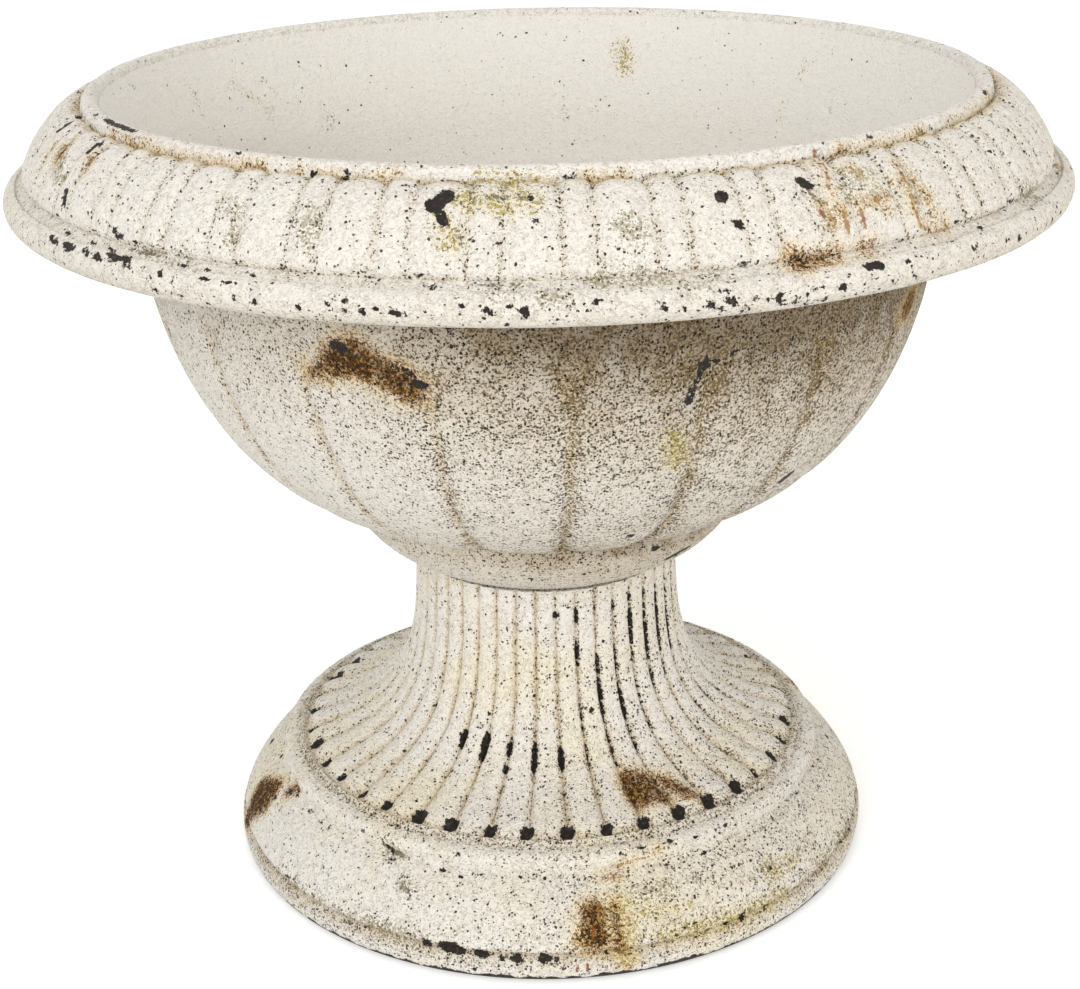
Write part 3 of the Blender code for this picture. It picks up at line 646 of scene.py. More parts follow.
# %% List the marks of the bowl
BOWL_CHIPS = [
    (5, (-12.2, 295.6), (-12.9, 293.9)), (5.5, (-13.1, 293.3), (-13.8, 292.4)),
    (3.2, (-12.7, 290.6), (-12.1, 288.4)), (2.4, (-4.4, 294.6)), (1.6, (-3.7, 290.5), (-4.3, 287)),
    (4.2, (13.6, 293.2), (14, 291.6)), (3, (14.3, 286.3), (15.4, 285)),
    (4, (22.4, 294.2), (23.6, 292.6)), (2.2, (35.1, 300.6)), (2.4, (64.4, 300.4), (66, 300.6)),
    (1.8, (79, 299)), (2, (-37.5, 301)),
    (2.4, (-66.5, 301), (-62.5, 301.1), (-58.5, 301.1), (-55.5, 301.2)),
    (1.8, (-69.8, 300.9), (-68.4, 300.9)), (2.4, (-72.9, 293.4), (-72.7, 296.3), (-73.3, 298.1)),
    (4, (-72.7, 295.6), (-73, 297.4)), (2.6, (-60.3, 293.7), (-60, 296.1), (-59.2, 297.2)),
    (2.2, (-58.8, 294.7), (-57.3, 296.5)), (2.6, (-59.8, 284.6), (-59.5, 281.7), (-59.1, 279)),
    (1.7, (-49.6, 278.2), (-48.4, 277.7), (-46.9, 277.6)), (3, (-13.1, 269), (-12.7, 268.8)),
    (1.8, (-10.2, 268.7)), (2.5, (-8.3, 267.9)), (3.2, (-5.2, 267.6), (-4.7, 267.3)),
    (2.8, (-1.2, 267.8), (-0.8, 267.9)), (2, (0.4, 269.2), (1.5, 269.8)),
    (2.4, (-16.4, 266.4), (-15, 266.3)), (1.8, (-16.9, 268)), (2.4, (6.4, 266.8), (7.2, 266.2)),
    (2, (8.6, 265.6)), (2, (10.6, 266.8)), (2.2, (12.4, 266.4), (13.2, 266)), (1.8, (14.8, 267.3)),
    (2.4, (16.7, 266.9), (17.3, 266.5)), (2, (20.2, 268)), (2.2, (22.8, 266.8), (24.2, 266.4)),
    (3.2, (26, 271.2), (28.2, 270.6)), (2.4, (30.9, 270.1)), (2.4, (39.8, 269.1)), (2.6, (47.7, 266.4)),
    (2.6, (-57.9, 270.9)), (2.6, (-56.6, 270.6)), (2.4, (-54, 270.2)),
    (2.8, (-55.2, 270.9), (-52.9, 270.7)), (2.6, (-51.2, 271.2)), (2.2, (-50.4, 270.2)),
    (2.4, (-49.6, 270.9), (-48.4, 270.7)), (3.6, (-47.8, 271.6), (-46, 271.7), (-44.2, 271.4)),
    (2.4, (-44.4, 271), (-43.8, 269.6)), (1.6, (-46.6, 270.6)), (2.2, (-39.9, 270.4), (-39.5, 269.9)),
    (1.8, (-38.2, 269.3)), (1.6, (-40.6, 268.6)), (2.2, (-31, 266.8)), (2, (-29, 266.4)),
    (2.2, (-24.6, 266.2)), (2, (-20.4, 266.4)), (2.4, (-18.8, 266.2)),
    (3.4, (-31, 238.2), (-29.8, 239.6), (-28.4, 238.4)),
    (1.6, (-23.2, 235.8), (-20.2, 232.7), (-19.2, 228)), (2.6, (-19.8, 228.8), (-18, 227.6)),
    (1.8, (-18.6, 224.8), (-18.6, 223.4)), (2.7, (15.4, 219), (15.7, 225)), (3.2, (15.3, 220.4)),
    (2, (15.8, 223), (16.7, 230.4), (19.2, 232.7)), (1.6, (19.2, 232.7), (21.9, 235.9)),
    (1.3, (16.8, 230), (17.2, 236)), (1.6, (15.2, 232), (20.4, 232.4)), (3, (11.6, 162), (12.6, 161.6)),
    (2.4, (-0.4, 158.5)), (2.4, (-18.2, 162.6)), (2.2, (0.8, 163.8)), (2.6, (27.4, 141), (29.4, 139.6)),
    (4, (36, 131), (41, 131.6), (46, 133.2)), (2.2, (7.6, 133)), (2.4, (-8.6, 131.6), (-7.8, 131.2)),
    (3.4, (39.6, 172.6), (41.6, 177.4)), (2, (172.4, 301), (150, 301)),
]
BOWL_RUST = [
    (4, (-34.6, 228), (-32, 232), (-30, 235)), (11.4, (-31.4, 234), (-27.4, 236), (-24.5, 233.4)),
    (9, (-24.8, 232.8), (-21.4, 228.8), (-20, 224.6)), (2, (-30, 238), (-26, 237.6)),
    (-5, (-32, 226), (-24, 225)), (-3, (26, 297), (25.4, 291.5), (25.6, 285)),
    (-5, (29, 295), (31.5, 289), (31, 284)), (-3, (23.6, 288), (24.4, 283)),
    (-2.6, (28.4, 287), (31.4, 287.2)), (-3, (35.4, 276.4), (38, 276)),
    (3.8, (19.4, 275), (21.2, 273.8)), (1.6, (21.2, 273.8), (24.3, 274.4)),
    (0.6, (26.9, 274.4), (28.4, 275)), (-3.4, (34, 290), (34.4, 280), (35.6, 275.6)),
    (2, (-66.2, 294.6), (-66, 289)), (-2, (-70, 291), (-69.6, 285)),
    (1.6, (-58.6, 293.4), (-58.2, 290.6)), (-2.4, (-61, 298.6), (-55, 298.2)),
    (7, (57, 228), (58.6, 234)), (3.4, (72.6, 276.4), (71, 273)),
    (-2.6, (35, 294), (36.6, 286), (36.4, 280)), (-5, (1.4, 298.2), (4.8, 298.2)),
    (-4.4, (30, 298.4), (36, 298.6), (44, 298.6)), (-5, (50, 298.6), (66, 298.8)),
    (-4.6, (-54, 298.6), (-46, 298.4), (-34, 298.4)), (-5.4, (-30, 298.4), (-18, 298.4)),
]
BOWL_RUNS = [
    (1.8, (27.2, 299.7), (26.4, 297.7)), (1.7, (26.4, 297.7), (25.4, 292.6), (24.9, 290)),
    (2, (23.4, 286.8), (23.7, 284.1)), (2.1, (26, 286.8), (25.8, 282), (25.4, 277.7)),
    (1.8, (27.9, 285.8), (27.6, 278.8)), (2.2, (29.6, 286.5), (30.6, 286.9)),
    (1.7, (34.4, 295.7), (34.7, 289.4), (34.4, 281.7), (34.5, 276.9), (36.3, 275)),
    (1.6, (26.9, 274.4), (28.4, 275.2)), (1.1, (-60.6, 293.2), (-60.2, 295.6), (-59.4, 296.8)),
    (1.4, (-66.3, 293.8), (-66.2, 290.8)), (1.4, (-58.4, 292.6), (-58, 291.2)),
    (1, (-20.2, 226), (-19.6, 222)), (1.2, (58, 236), (58.4, 228)),
]
INSIDE_CHIPS = [
    (0.9, (-133.3, 280)), (0.7, (-138.4, 273.4)), (0.8, (-145.8, 266.1)), (0.7, (150, 284)),
    (0.8, (128, 276)),
]
INSIDE_LICHEN = [
    (4, (161.9, 287), (160.9, 276)), (-3, (-128, 284), (-134, 270)), (-3.6, (128, 284), (131, 262)),
]
INSIDE_DAMP = [
    (-1, (161.9, 286), (160.6, 280)), (2, (-145.6, 266), (-145, 260)), (-3, (-134, 284), (-137, 272)),
    (-3, (172, 270), (171, 255)), (-3, (-118, 286), (-120, 262)), (-4, (120, 270), (121, 250)),
]
BOWL_LICHEN = [
    (4, (-12.8, 290.2), (-11.9, 286.4), (-11.4, 283)), (5, (-11, 294.8), (-9.6, 293.4)),
    (5, (-8.4, 293.6), (-6.2, 292.6)), (3.6, (-6.4, 297), (-5, 295.2)), (4.4, (-4.8, 295), (-3.9, 293)),
    (6, (13.6, 208), (14.6, 202), (15.8, 196)), (1.6, (-9.4, 298.2), (-3, 298)),
]
BOWL_MOSS = [
    (1.8, (-5.4, 295.6), (-5, 293.4)), (1.4, (-9.6, 273.2), (-7.4, 273), (-4.6, 273)),
    (1.6, (-30.4, 238.2), (-27, 237.6)), (1.2, (-27, 237.6), (-22.4, 233.4)),
    (1.4, (22.8, 292.6), (23.2, 289)), (1.6, (-8.8, 294.6), (-6.2, 295.2)),
    (1.2, (-11.2, 287.6), (-10.4, 283)), (1.2, (34.6, 288), (34.8, 282)),
    (1.6, (-46, 273.2), (-41, 273.4)), (1.4, (27, 297.6), (33, 298)), (1.2, (14.2, 206.6), (14.6, 203)),
    (1.3, (-64.4, 292), (-63.6, 288)), (1.6, (-37.2, 147.6), (-34.4, 146.4)),
    (1.6, (-1.6, 147.4), (1.4, 146.6)),
]
BOWL_DAMP = [
    (11, (27.4, 292), (31.4, 289)), (7, (35.4, 291), (35.8, 280)), (5, (22.6, 291), (24, 283)),
    (7, (-67, 292), (-62, 286)), (4, (-34, 290), (-33, 280)), (4, (-25.4, 291), (-25, 281)),
    (5, (1, 273.8), (4, 275), (7.4, 273)), (4, (-3.6, 271.4), (-1.6, 271)),
    (5, (-42.6, 273.8), (-38, 274)), (5, (52.6, 276.4), (57, 274)), (3.4, (9, 272), (13, 272.2)),
    (3, (-8, 272), (-4.6, 272.2)), (5, (4, 288), (5.2, 284)),
]
BOWL_MARKS = {
    "chip": BOWL_CHIPS, "rust": BOWL_RUST, "runs": BOWL_RUNS,
    "lichen": BOWL_LICHEN, "damp": BOWL_DAMP, "moss": BOWL_MOSS,
}
INSIDE_MARKS = {"chip": INSIDE_CHIPS, "lichen": INSIDE_LICHEN, "damp": INSIDE_DAMP}
print("marks on the bowl:", ", ".join(f"{len(marks)} {kind}" for kind, marks in BOWL_MARKS.items()))

# %% [markdown]
# The reeds' grooves are numbered from the front one, 0, towards the right. Bare iron shows in many of
# them, mostly on the right, and in the small pocket below each groove, between the noses of two reeds. On
# the foot there are three rust patches and a row of chips along its edge.

# %% List the marks of the pedestal
REED_TURN = 360 / REEDS


def in_groove(number, *heights):
    """The path of a mark that follows one groove between two reeds."""
    return [(number * REED_TURN, height) for height in heights]


PEDESTAL_CHIPS = [
    (2.6, (0.2, 108.4)), (2, (-33.7, 52.6)), (1.6, (-26.8, 69.7)), (3.4, (-122, 45.5), (-120, 45.8)),
    (3.4, (-114, 45.5), (-110, 45.4)), (2.2, (12.6, 71)), (1.4, (22, 60.4)),
    (2.6, (-25.8, 11.4), (-24.6, 11.2)), (3.6, (-23.2, 11.4), (-21.4, 10.9), (-18.2, 10.3)),
    (2.6, (-16.8, 10.6), (-14.3, 10.4)), (2.2, (-12.4, 9.8), (-11.6, 9.6)),
    (3.2, (-10.3, 9.8), (-8.9, 9.6)), (3.2, (-5.9, 10.2), (-4.4, 9.8)), (2.2, (-3.2, 9.6)),
    (2.6, (29.8, 10.6)), (2, (38.9, 21.3)), (1.8, (-38.2, 34.4), (-36.4, 33)),
    (2.4, (-80.5, 17), (-79, 14.6)), (2.2, (-74, 26.4)), (1.1, (-3.4, 38.6), (-2.4, 38.8)),
    (1, (-1, 38.7), (1.6, 38.9)), (1.1, (2.6, 39.1), (3.8, 39.2)), (0.8, (-2.5, 31.4), (0, 31.4)),
    (0.8, (0.8, 31.4), (3.2, 31.4)), (1.2, (10.8, 39.4)), (1.4, (13.2, 39.5), (15, 39.4)),
    (1.2, (18.4, 39.3), (21.5, 39.4)), (1.1, (18, 14.1), (19.6, 14.6)), (1, (20.4, 14.9), (21.5, 15.1)),
]
GROOVE_CHIPS = {  # for each groove, widths with the heights at their two ends
    -6: [(1.4, 67.5, 65.5)],
    -4: [(2.5, 63, 57.5)],
    -3: [(2.7, 64, 55.5)],
    -2: [(1.8, 63.5, 58), (2.2, 56, 54)],
    -1: [(2, 62, 54)],
    0: [(2.3, 61, 55), (1.6, 50.4)],
    1: [(1.3, 110.5, 104), (1.3, 98, 87.5), (0.8, 76, 64), (1, 61, 54)],
    2: [(0.8, 111.5, 108), (1.1, 92, 83), (1.4, 83, 66), (1, 64, 53)],
    3: [(1, 111.5, 106), (0.8, 94, 81), (1.4, 79, 65), (1, 63, 56)],
    4: [(1.4, 112.5, 108.5), (1.6, 107, 90), (1, 88, 84), (0.8, 79, 66), (0.8, 64, 54.5)],
    5: [(1.2, 113, 107.5), (1.7, 106, 82), (1.1, 80, 72)],
    6: [(1.6, 111.5, 82), (1.3, 80, 74)],
    7: [(1.5, 111, 72), (1.2, 62, 59), (1, 59, 52.5)],
    8: [(1.4, 112, 84), (1.1, 64, 56)],
    9: [(1.5, 60, 55)],
}
for number, chips in GROOVE_CHIPS.items():
    for width, *heights in chips:
        PEDESTAL_CHIPS.append((width, *in_groove(number, *heights)))
POCKET_WIDTH = 4.7
SMALLER_FROM, SMALLER_TO = 44, 322  # turns between which the pockets have kept more paint
for number in range(REEDS):
    turn = number * REED_TURN + 0.4 * sin(3.0 * number)
    width = POCKET_WIDTH + 0.6 * sin(5.0 * number) - (1.6 if SMALLER_FROM < turn < SMALLER_TO else 0.0)
    PEDESTAL_CHIPS.append((width, (turn - 0.6, 44.3), (turn + 0.4, 45.3)))
PEDESTAL_RUST = [
    (8, (19.4, 52), (19, 46.6)), (6.4, (22.4, 51), (24.4, 46.4)), (4, (27, 49.6), (31.4, 45.6)),
    (8, (3.6, 25.6), (3.2, 22.6), (3.2, 16.9), (4, 13)), (1.6, (7, 25), (7.4, 11)), (1.6, (0.8, 16.2)),
    (-3.6, (9.4, 34.4), (14, 36), (17.6, 38)), (-3.6, (6.5, 31.4), (8.4, 31.4)), (-2, (9, 8), (8.6, 5)),
    (15, (-81, 21), (-77, 23)), (10, (-76.4, 28.6), (-79, 15)), (8, (-80, 12)),
    (4, (-72, 30), (-70, 33)),
]
PEDESTAL_RUNS = [
    (1.3, (0.2, 7.6), (0.2, 3.8)), (1.3, (1.8, 7.8), (1.8, 3.8)),
    (1.1, (8, 34.6), (12, 35.4), (16, 35.8)), (0.9, (7, 31), (11, 31.4)), (1.4, (4.6, 26), (4.2, 20)),
    (1.6, (3.4, 20), (2.8, 15)), (1.6, (18.4, 50), (18.8, 46.4)), (1.2, (20.4, 49), (21.4, 46)),
    (1.4, (-79, 24), (-79.4, 16)),
]
PEDESTAL_LICHEN = [
    (9, (7.8, 26), (8.4, 14.2)), (6, (7.6, 10.6), (8.6, 6.6)), (3, (12, 21.6), (14.6, 20.8)),
    (-1, (13.4, 22.3), (20.6, 20.4)), (4, (-78, 28), (-76, 30)),
    (2.6, (14.3, 14), (24, 12.4), (40, 12)), (3, (38.4, 20.6), (40.4, 19.6)), (2.4, (44, 20)),
]
PEDESTAL_MOSS = [
    (2.6, (-39, 34.8), (-36.4, 33.4), (-33.6, 32.2)), (2, (-32, 26), (-30, 24.8)),
    (1.6, (43.6, 20.2), (44.6, 19.6)), (1.2, (6.4, 24), (6.8, 18)), (1.2, (5.6, 12), (8.4, 9)),
    (1, (38, 20.6), (39.6, 20.4)), (1.4, (52, 24), (53, 22)),
]
PEDESTAL_DAMP = [
    (4.6, (-38.6, 34.6), (-34, 32.4)), (5, (-32.2, 26.2), (-29.8, 24.6)), (3, (11, 27), (24, 26)),
    (2.6, (30, 22), (52, 21)), (2.4, (-26, 12.4), (-60, 12.8)), (2.4, (48, 12.2), (70, 12)),
]
PEDESTAL_MARKS = {
    "chip": PEDESTAL_CHIPS, "rust": PEDESTAL_RUST, "runs": PEDESTAL_RUNS,
    "lichen": PEDESTAL_LICHEN, "damp": PEDESTAL_DAMP, "moss": PEDESTAL_MOSS,
}
print("marks on the pedestal:", ", ".join(f"{len(marks)} {kind}" for kind, marks in PEDESTAL_MARKS.items()))

# %% [markdown]
# Small chips lie along every edge of the near side, too many to set one by one, and the far side is worn
# as much as the near side. A random generator with a fixed seed strews these marks, the same at
# every run. Some lie between two turns and two heights, and others crack off along one line round the
# urn.

# %% Strew the small marks and those of the far side
FAR_SIDE = (84.0, 262.0)
strewn = np.random.default_rng(1871)


def strew(marks, count, widths, heights, streak=(0.0, 0.0), turns=FAR_SIDE):
    """Adds marks between two turns and two heights, each a streak of up to so many (degrees, mm)."""
    for _ in range(count):
        turn, height = strewn.uniform(*turns), strewn.uniform(*heights)
        end = (turn + strewn.uniform(-1, 1) * streak[0], height - strewn.uniform(0, 1) * streak[1])
        marks.append((strewn.uniform(*widths), (turn, height), end))


def wear_line(marks, height, count, first=-84.0):
    """Adds small dashes along one line round the urn, where paint cracks off an edge."""
    for turn in strewn.uniform(first, 360.0 + first, count):
        level = height + strewn.uniform(-0.5, 0.5)
        width = strewn.uniform(0.6, 1.6)
        marks.append((width, (turn, level), (turn + strewn.uniform(0.1, 1.6), level)))


strew(BOWL_CHIPS, 70, (0.8, 1.6), (262.5, 268.5), (0.9, 0.6), (9.0, 33.0))
strew(BOWL_CHIPS, 30, (0.8, 2.0), (263.0, 271.0), (0.8, 0.5), (-60.0, 9.0))
strew(BOWL_CHIPS, 16, (0.9, 2.2), (264.0, 270.0), (0.8, 0.8), (33.0, 84.0))
strew(PEDESTAL_CHIPS, 24, (0.7, 1.4), (10.0, 42.0), (1.4, 0.6), (-80.0, 80.0))
for number in range(-5, 5):
    foot = number * 360 / LOBES
    strew(BOWL_CHIPS, 3, (1.2, 2.2), (145.6, 149.6), (1.6, 0.8), (foot - 3.0, foot + 2.0))
BOWL_EDGES = {298.2: 60, 275.2: 80, 272.4: 60, 270.4: 60, 146.6: 60, 144.8: 50, 143.0: 30, 120.8: 60}
for height, count in BOWL_EDGES.items():
    wear_line(BOWL_CHIPS, height, count)
PEDESTAL_EDGES = {41.0: 50, 38.8: 40, 31.4: 60, 12.6: 70, 10.6: 40}
for height, count in PEDESTAL_EDGES.items():
    wear_line(PEDESTAL_CHIPS, height, count)
strew(BOWL_CHIPS, 52, (1.6, 3.6), (264, 270), (1.2, 0.0))
strew(BOWL_CHIPS, 22, (1.4, 3.8), (276, 299), (1.0, 4.0))
strew(BOWL_CHIPS, 8, (1.6, 3.0), (160, 240), (1.0, 6.0))
strew(BOWL_RUST, 12, (-3.0, 5.0), (200, 298), (5.0, 12.0))
strew(BOWL_RUNS, 12, (0.9, 1.6), (272, 298), (1.0, 9.0))
strew(BOWL_LICHEN, 8, (3.0, 6.0), (270, 299), (5.0, 3.0))
strew(BOWL_DAMP, 12, (3.0, 6.0), (270, 299), (8.0, 2.0))
strew(PEDESTAL_CHIPS, 16, (1.6, 3.4), (8, 40), (2.0, 1.0))
strew(PEDESTAL_RUST, 10, (-2.0, 7.0), (8, 52), (7.0, 9.0))
strew(PEDESTAL_DAMP, 6, (3.0, 6.0), (10, 40), (8.0, 1.0))
for number in range(10, 33):
    top = strewn.uniform(60, 112)
    PEDESTAL_CHIPS.append((strewn.uniform(1.0, 2.0), *in_groove(number, top, top - strewn.uniform(3, 18))))
print("marks in all:", sum(len(marks) for marks in (*BOWL_MARKS.values(), *PEDESTAL_MARKS.values())))

# %% [markdown]
# ## Building finishes from nodes
#
# A finish is a small network of shader nodes. Wiring them by hand is wordy, so a helper adds a node, sets
# it and gives back its result. Colours are written as on a paint chart, 0 to 255, and turned into the
# linear numbers that light needs. Sizes inside the finish are millimetres too.

# %% Short ways to add nodes
def chart(red, green, blue):
    """A colour from a paint chart as linear numbers."""
    shares = (value / 255 for value in (red, green, blue))
    return (*(s / 12.92 if s <= 0.04045 else ((s + 0.055) / 1.055) ** 2.4 for s in shares), 1.0)


class Network:
    """Adds nodes to one tree and gives back the socket with each result."""

    def __init__(self, tree):
        self.tree = tree

    def feed(self, socket, value):
        """Links a socket's source, or writes a plain value."""
        if isinstance(value, bpy.types.NodeSocket):
            self.tree.links.new(value, socket)
        else:
            socket.default_value = value

    def node(self, kind, choices=None, **inputs):
        """Any node: its choices, then its inputs by name with underscores for spaces."""
        node = self.tree.nodes.new("ShaderNode" + kind)
        for name, value in (choices or {}).items():
            setattr(node, name, value)
        for name, value in inputs.items():
            self.feed(node.inputs[name.replace("_", " ")], value)
        return node

    def math(self, operation, *values):
        """One sum, product or the like."""
        node = self.node("Math", {"operation": operation})
        for socket, value in zip(node.inputs, values):
            self.feed(socket, value)
        return node.outputs["Value"]

    def times(self, first, second):
        """One value times another."""
        return self.math("MULTIPLY", first, second)

    def step(self, value, low, high):
        """0 below low, 1 above high and a soft step between."""
        choices = {"interpolation_type": "SMOOTHSTEP"}
        return self.node("MapRange", choices, Value=value, From_Min=low, From_Max=high).outputs["Result"]

    def between(self, value, low, high, first, last):
        """A value from first to last while another goes from low to high."""
        ends = {"From_Min": low, "From_Max": high, "To_Min": first, "To_Max": last}
        return self.node("MapRange", Value=value, **ends).outputs["Result"]

    def noise(self, place, size, detail=2.0):
        """Cloudy noise round 0.5 with waves of this size in millimetres."""
        scale = 1 / size
        return self.node("TexNoise", Vector=place, Scale=scale, Detail=detail, Roughness=0.6).outputs["Fac"]

    def over(self, share, below, above):
        """Lays one colour over another."""
        node = self.tree.nodes.new("ShaderNodeMix")
        node.data_type = "RGBA"
        for number, value in ((0, share), (6, below), (7, above)):
            self.feed(node.inputs[number], value)
        return node.outputs[2]

    def value(self, name):
        """A value that the skin carries."""
        return self.node("Attribute", {"attribute_name": name}).outputs["Fac"]

    def aside(self, place):
        """The same place in another part of the noise, so that two layers don't coincide."""
        node = self.node("VectorMath", {"operation": "ADD"}, Vector=place)
        node.inputs[1].default_value = (310.0, 170.0, 90.0)
        return node.outputs["Vector"]

    def place(self):
        """Where a point lies on the urn, in millimetres."""
        place = self.tree.nodes.new("ShaderNodeTexCoord").outputs["Object"]
        return self.node("VectorMath", {"operation": "SCALE"}, Vector=place, Scale=1000.0).outputs["Vector"]


def new_group(name, inputs, outputs):
    """An empty node group with named sockets: its tree, what comes in and what goes out."""
    tree = bpy.data.node_groups.new(name, "ShaderNodeTree")
    for label, kind in inputs.items():
        tree.interface.new_socket(label, in_out="INPUT", socket_type="NodeSocket" + kind)
    for label, kind in outputs.items():
        tree.interface.new_socket(label, in_out="OUTPUT", socket_type="NodeSocket" + kind)
    return Network(tree), tree.nodes.new("NodeGroupInput").outputs, tree.nodes.new("NodeGroupOutput").inputs


def place_group(network, tree, **inputs):
    """A group placed in a material; gives back its first result."""
    node = network.tree.nodes.new("ShaderNodeGroup")
    node.node_tree = tree
    for name, value in inputs.items():
        network.feed(node.inputs[name.replace("_", " ")], value)
    return node.outputs[0]


print("half way up the chart, at 128, a colour is", round(chart(128, 128, 128)[0], 3), "as light")

# %% [markdown]
# ## Two effects that both castings share
#
# Speckle is the look of paint on sand-cast iron: the paint sits in the hollows and has worn off the
# grains. It is fine noise with a threshold, and the threshold falls where more should show. A ragged edge
# turns the smooth distance to a mark into a torn outline, by adding noise before it is cut off. Both are
# node groups, so each material can place them many times with its own sizes.

# %% Make the speckle and the ragged edge
SPECKLE_RARE = 0.76  # noise level that nothing reaches
SPECKLE_FALL = 0.37  # how much it falls for full cover
SPECKLE_EDGE = 0.018
SPECKLE_DETAIL = {"Detail": 1.6, "Roughness": 0.62}
TORN_DETAIL = {"Detail": 3.0, "Roughness": 0.65}


def speckle_group():
    """Share of bare grains at each point, for a cover from 0 to 1."""
    sockets = {"Place": "Vector", "Cover": "Float", "Size": "Float"}
    net, given, result = new_group("speckle", sockets, {"Mask": "Float"})
    scale = net.math("DIVIDE", 1.0, given["Size"])
    grains = net.node("TexNoise", Vector=given["Place"], Scale=scale, **SPECKLE_DETAIL).outputs["Fac"]
    root = net.math("SQRT", net.math("MAXIMUM", given["Cover"], 0.0))
    limit = net.math("SUBTRACT", SPECKLE_RARE, net.times(root, SPECKLE_FALL))
    high = net.math("ADD", limit, SPECKLE_EDGE)
    net.feed(result["Mask"], net.step(grains, limit, high))
    return net.tree


def ragged_group():
    """Share inside a torn outline, from the distance inside a mark."""
    sockets = {"Place": "Vector", "Inside": "Float", "Tear": "Float", "Size": "Float", "Softness": "Float"}
    net, given, result = new_group("ragged edge", sockets, {"Mask": "Float"})
    scale = net.math("DIVIDE", 1.0, given["Size"])
    cloud = net.node("TexNoise", Vector=given["Place"], Scale=scale, **TORN_DETAIL).outputs["Fac"]
    torn = net.times(net.math("SUBTRACT", cloud, 0.5), given["Tear"])
    edge = net.math("ADD", given["Inside"], torn)
    low = net.times(given["Softness"], -1.0)
    net.feed(result["Mask"], net.step(edge, low, given["Softness"]))
    return net.tree


SPECKLE = speckle_group()
RAGGED = ragged_group()
print("groups:", SPECKLE.name, "and", RAGGED.name)

# %% [markdown]
# ## Specks of lost paint
#
# Apart from the listed marks, small black specks lie all over the urn. A Voronoi texture divides the skin
# into cells and gives the distance to each cell's middle and a random colour. The random colour sets the
# size of the cell's speck, so most cells stay empty and a few get a large one.

# %% Make the specks
SHAKE_SCALE = 0.9  # waves in a millimetre of the noise that makes a speck ragged
SHAKE = 1.3  # how far it moves an edge, in millimetres


def specks_group():
    """Small ragged spots of random size, one at most in each cell."""
    sockets = {"Place": "Vector", "Spacing": "Float", "Largest": "Float", "Cover": "Float"}
    net, given, result = new_group("specks", sockets, {"Mask": "Float"})
    shake = net.node("TexNoise", Vector=given["Place"], Scale=SHAKE_SCALE, Detail=2.0).outputs["Color"]
    shake = net.node("VectorMath", {"operation": "SUBTRACT"}, Vector=shake)
    shake.inputs[1].default_value = (0.5, 0.5, 0.5)
    shake = net.node("VectorMath", {"operation": "SCALE"}, Vector=shake.outputs[0], Scale=SHAKE)
    shaken = net.node("VectorMath", {"operation": "ADD"}, Vector=given["Place"])
    net.feed(shaken.inputs[1], shake.outputs[0])
    scale = net.math("DIVIDE", 1.0, given["Spacing"])
    cells = net.node("TexVoronoi", Vector=shaken.outputs[0], Scale=scale)
    luck = net.tree.nodes.new("ShaderNodeSeparateColor")
    net.feed(luck.inputs[0], cells.outputs["Color"])
    chance = net.math("SUBTRACT", luck.outputs[0], net.math("SUBTRACT", 1.0, given["Cover"]))
    size = net.times(net.math("DIVIDE", chance, given["Cover"]), given["Largest"])
    gap = net.times(cells.outputs["Distance"], given["Spacing"])
    net.feed(result["Mask"], net.step(net.math("SUBTRACT", size, gap), -0.03, 0.08))
    return net.tree


SPECKS = specks_group()
print("group:", SPECKS.name)

# %% [markdown]
# ## Worn cream paint over iron
#
# The paint is built up as it wore: cream first, then dust and a tan wash in the grooves, which are both
# partly painted shade, then the grains of bare iron, the stains of damp, lichen and rust, and last the
# chips down to charcoal iron. Each kind of wear is a node group that takes a colour and gives back the
# same colour with the wear laid over it, and a mask of where it lies. Both castings place these groups
# one after the other. A small class keeps the colour so far while a group is built, with the noises that
# most layers ask for.

# %% Start a coat of paint
CREAM_LIGHT = chart(249, 246, 240)
CREAM_WARM = chart(250, 243, 224)
# The groove tan and the two dust colours are partly stains and partly painted shade.
GROOVE_TAN_AND_SHADE = chart(216, 188, 128)
BEIGE_DUST_AND_SHADE = chart(194, 170, 126)
HOLLOW_DIRT_AND_SHADE = chart(142, 120, 78)
UMBER_DUST_AND_SHADE = chart(122, 98, 60)
CLOUDS = 42.0  # sizes of the paint's uneven areas, in millimetres
PATCHES = 9.0
CRUMBS = 2.2
FOLDS = 1.9
LUMPS = 4.0
SCUFFS = 1.6
SAND = 0.75
SHARED = {
    "Colour": "Color", "Place": "Vector", "Patches": "Float",
    "Crumbs": "Float", "Sand": "Float", "Rough": "Float",
}


class Coats:
    """The paint while a group lays wear over it, with the colour so far."""

    def __init__(self, net, given):
        self.net = net
        self.colour, self.place, self.patches, self.crumbs, self.sand, self.rough = (
            given[label] for label in SHARED
        )

    def lay(self, share, colour, strength=1.0):
        """Lays a colour over the paint where the share says, this strong."""
        if strength < 1.0:
            share = self.net.times(share, strength)
        self.colour = self.net.over(share, self.colour, colour)

    def speckle(self, cover, size, place=None):
        """Bare grains of this size in millimetres."""
        place = self.place if place is None else place
        return place_group(self.net, SPECKLE, Place=place, Cover=cover, Size=size)

    def specks(self, cover, spacing, largest):
        """Small spots, one at most in each cell of this spacing."""
        inputs = {"Spacing": spacing, "Largest": largest, "Cover": cover}
        return place_group(self.net, SPECKS, Place=self.place, **inputs)

    def torn(self, inside, tear, size, softness):
        """The torn outline round a mark."""
        inputs = {"Inside": inside, "Tear": tear, "Size": size, "Softness": softness}
        return place_group(self.net, RAGGED, Place=self.place, **inputs)


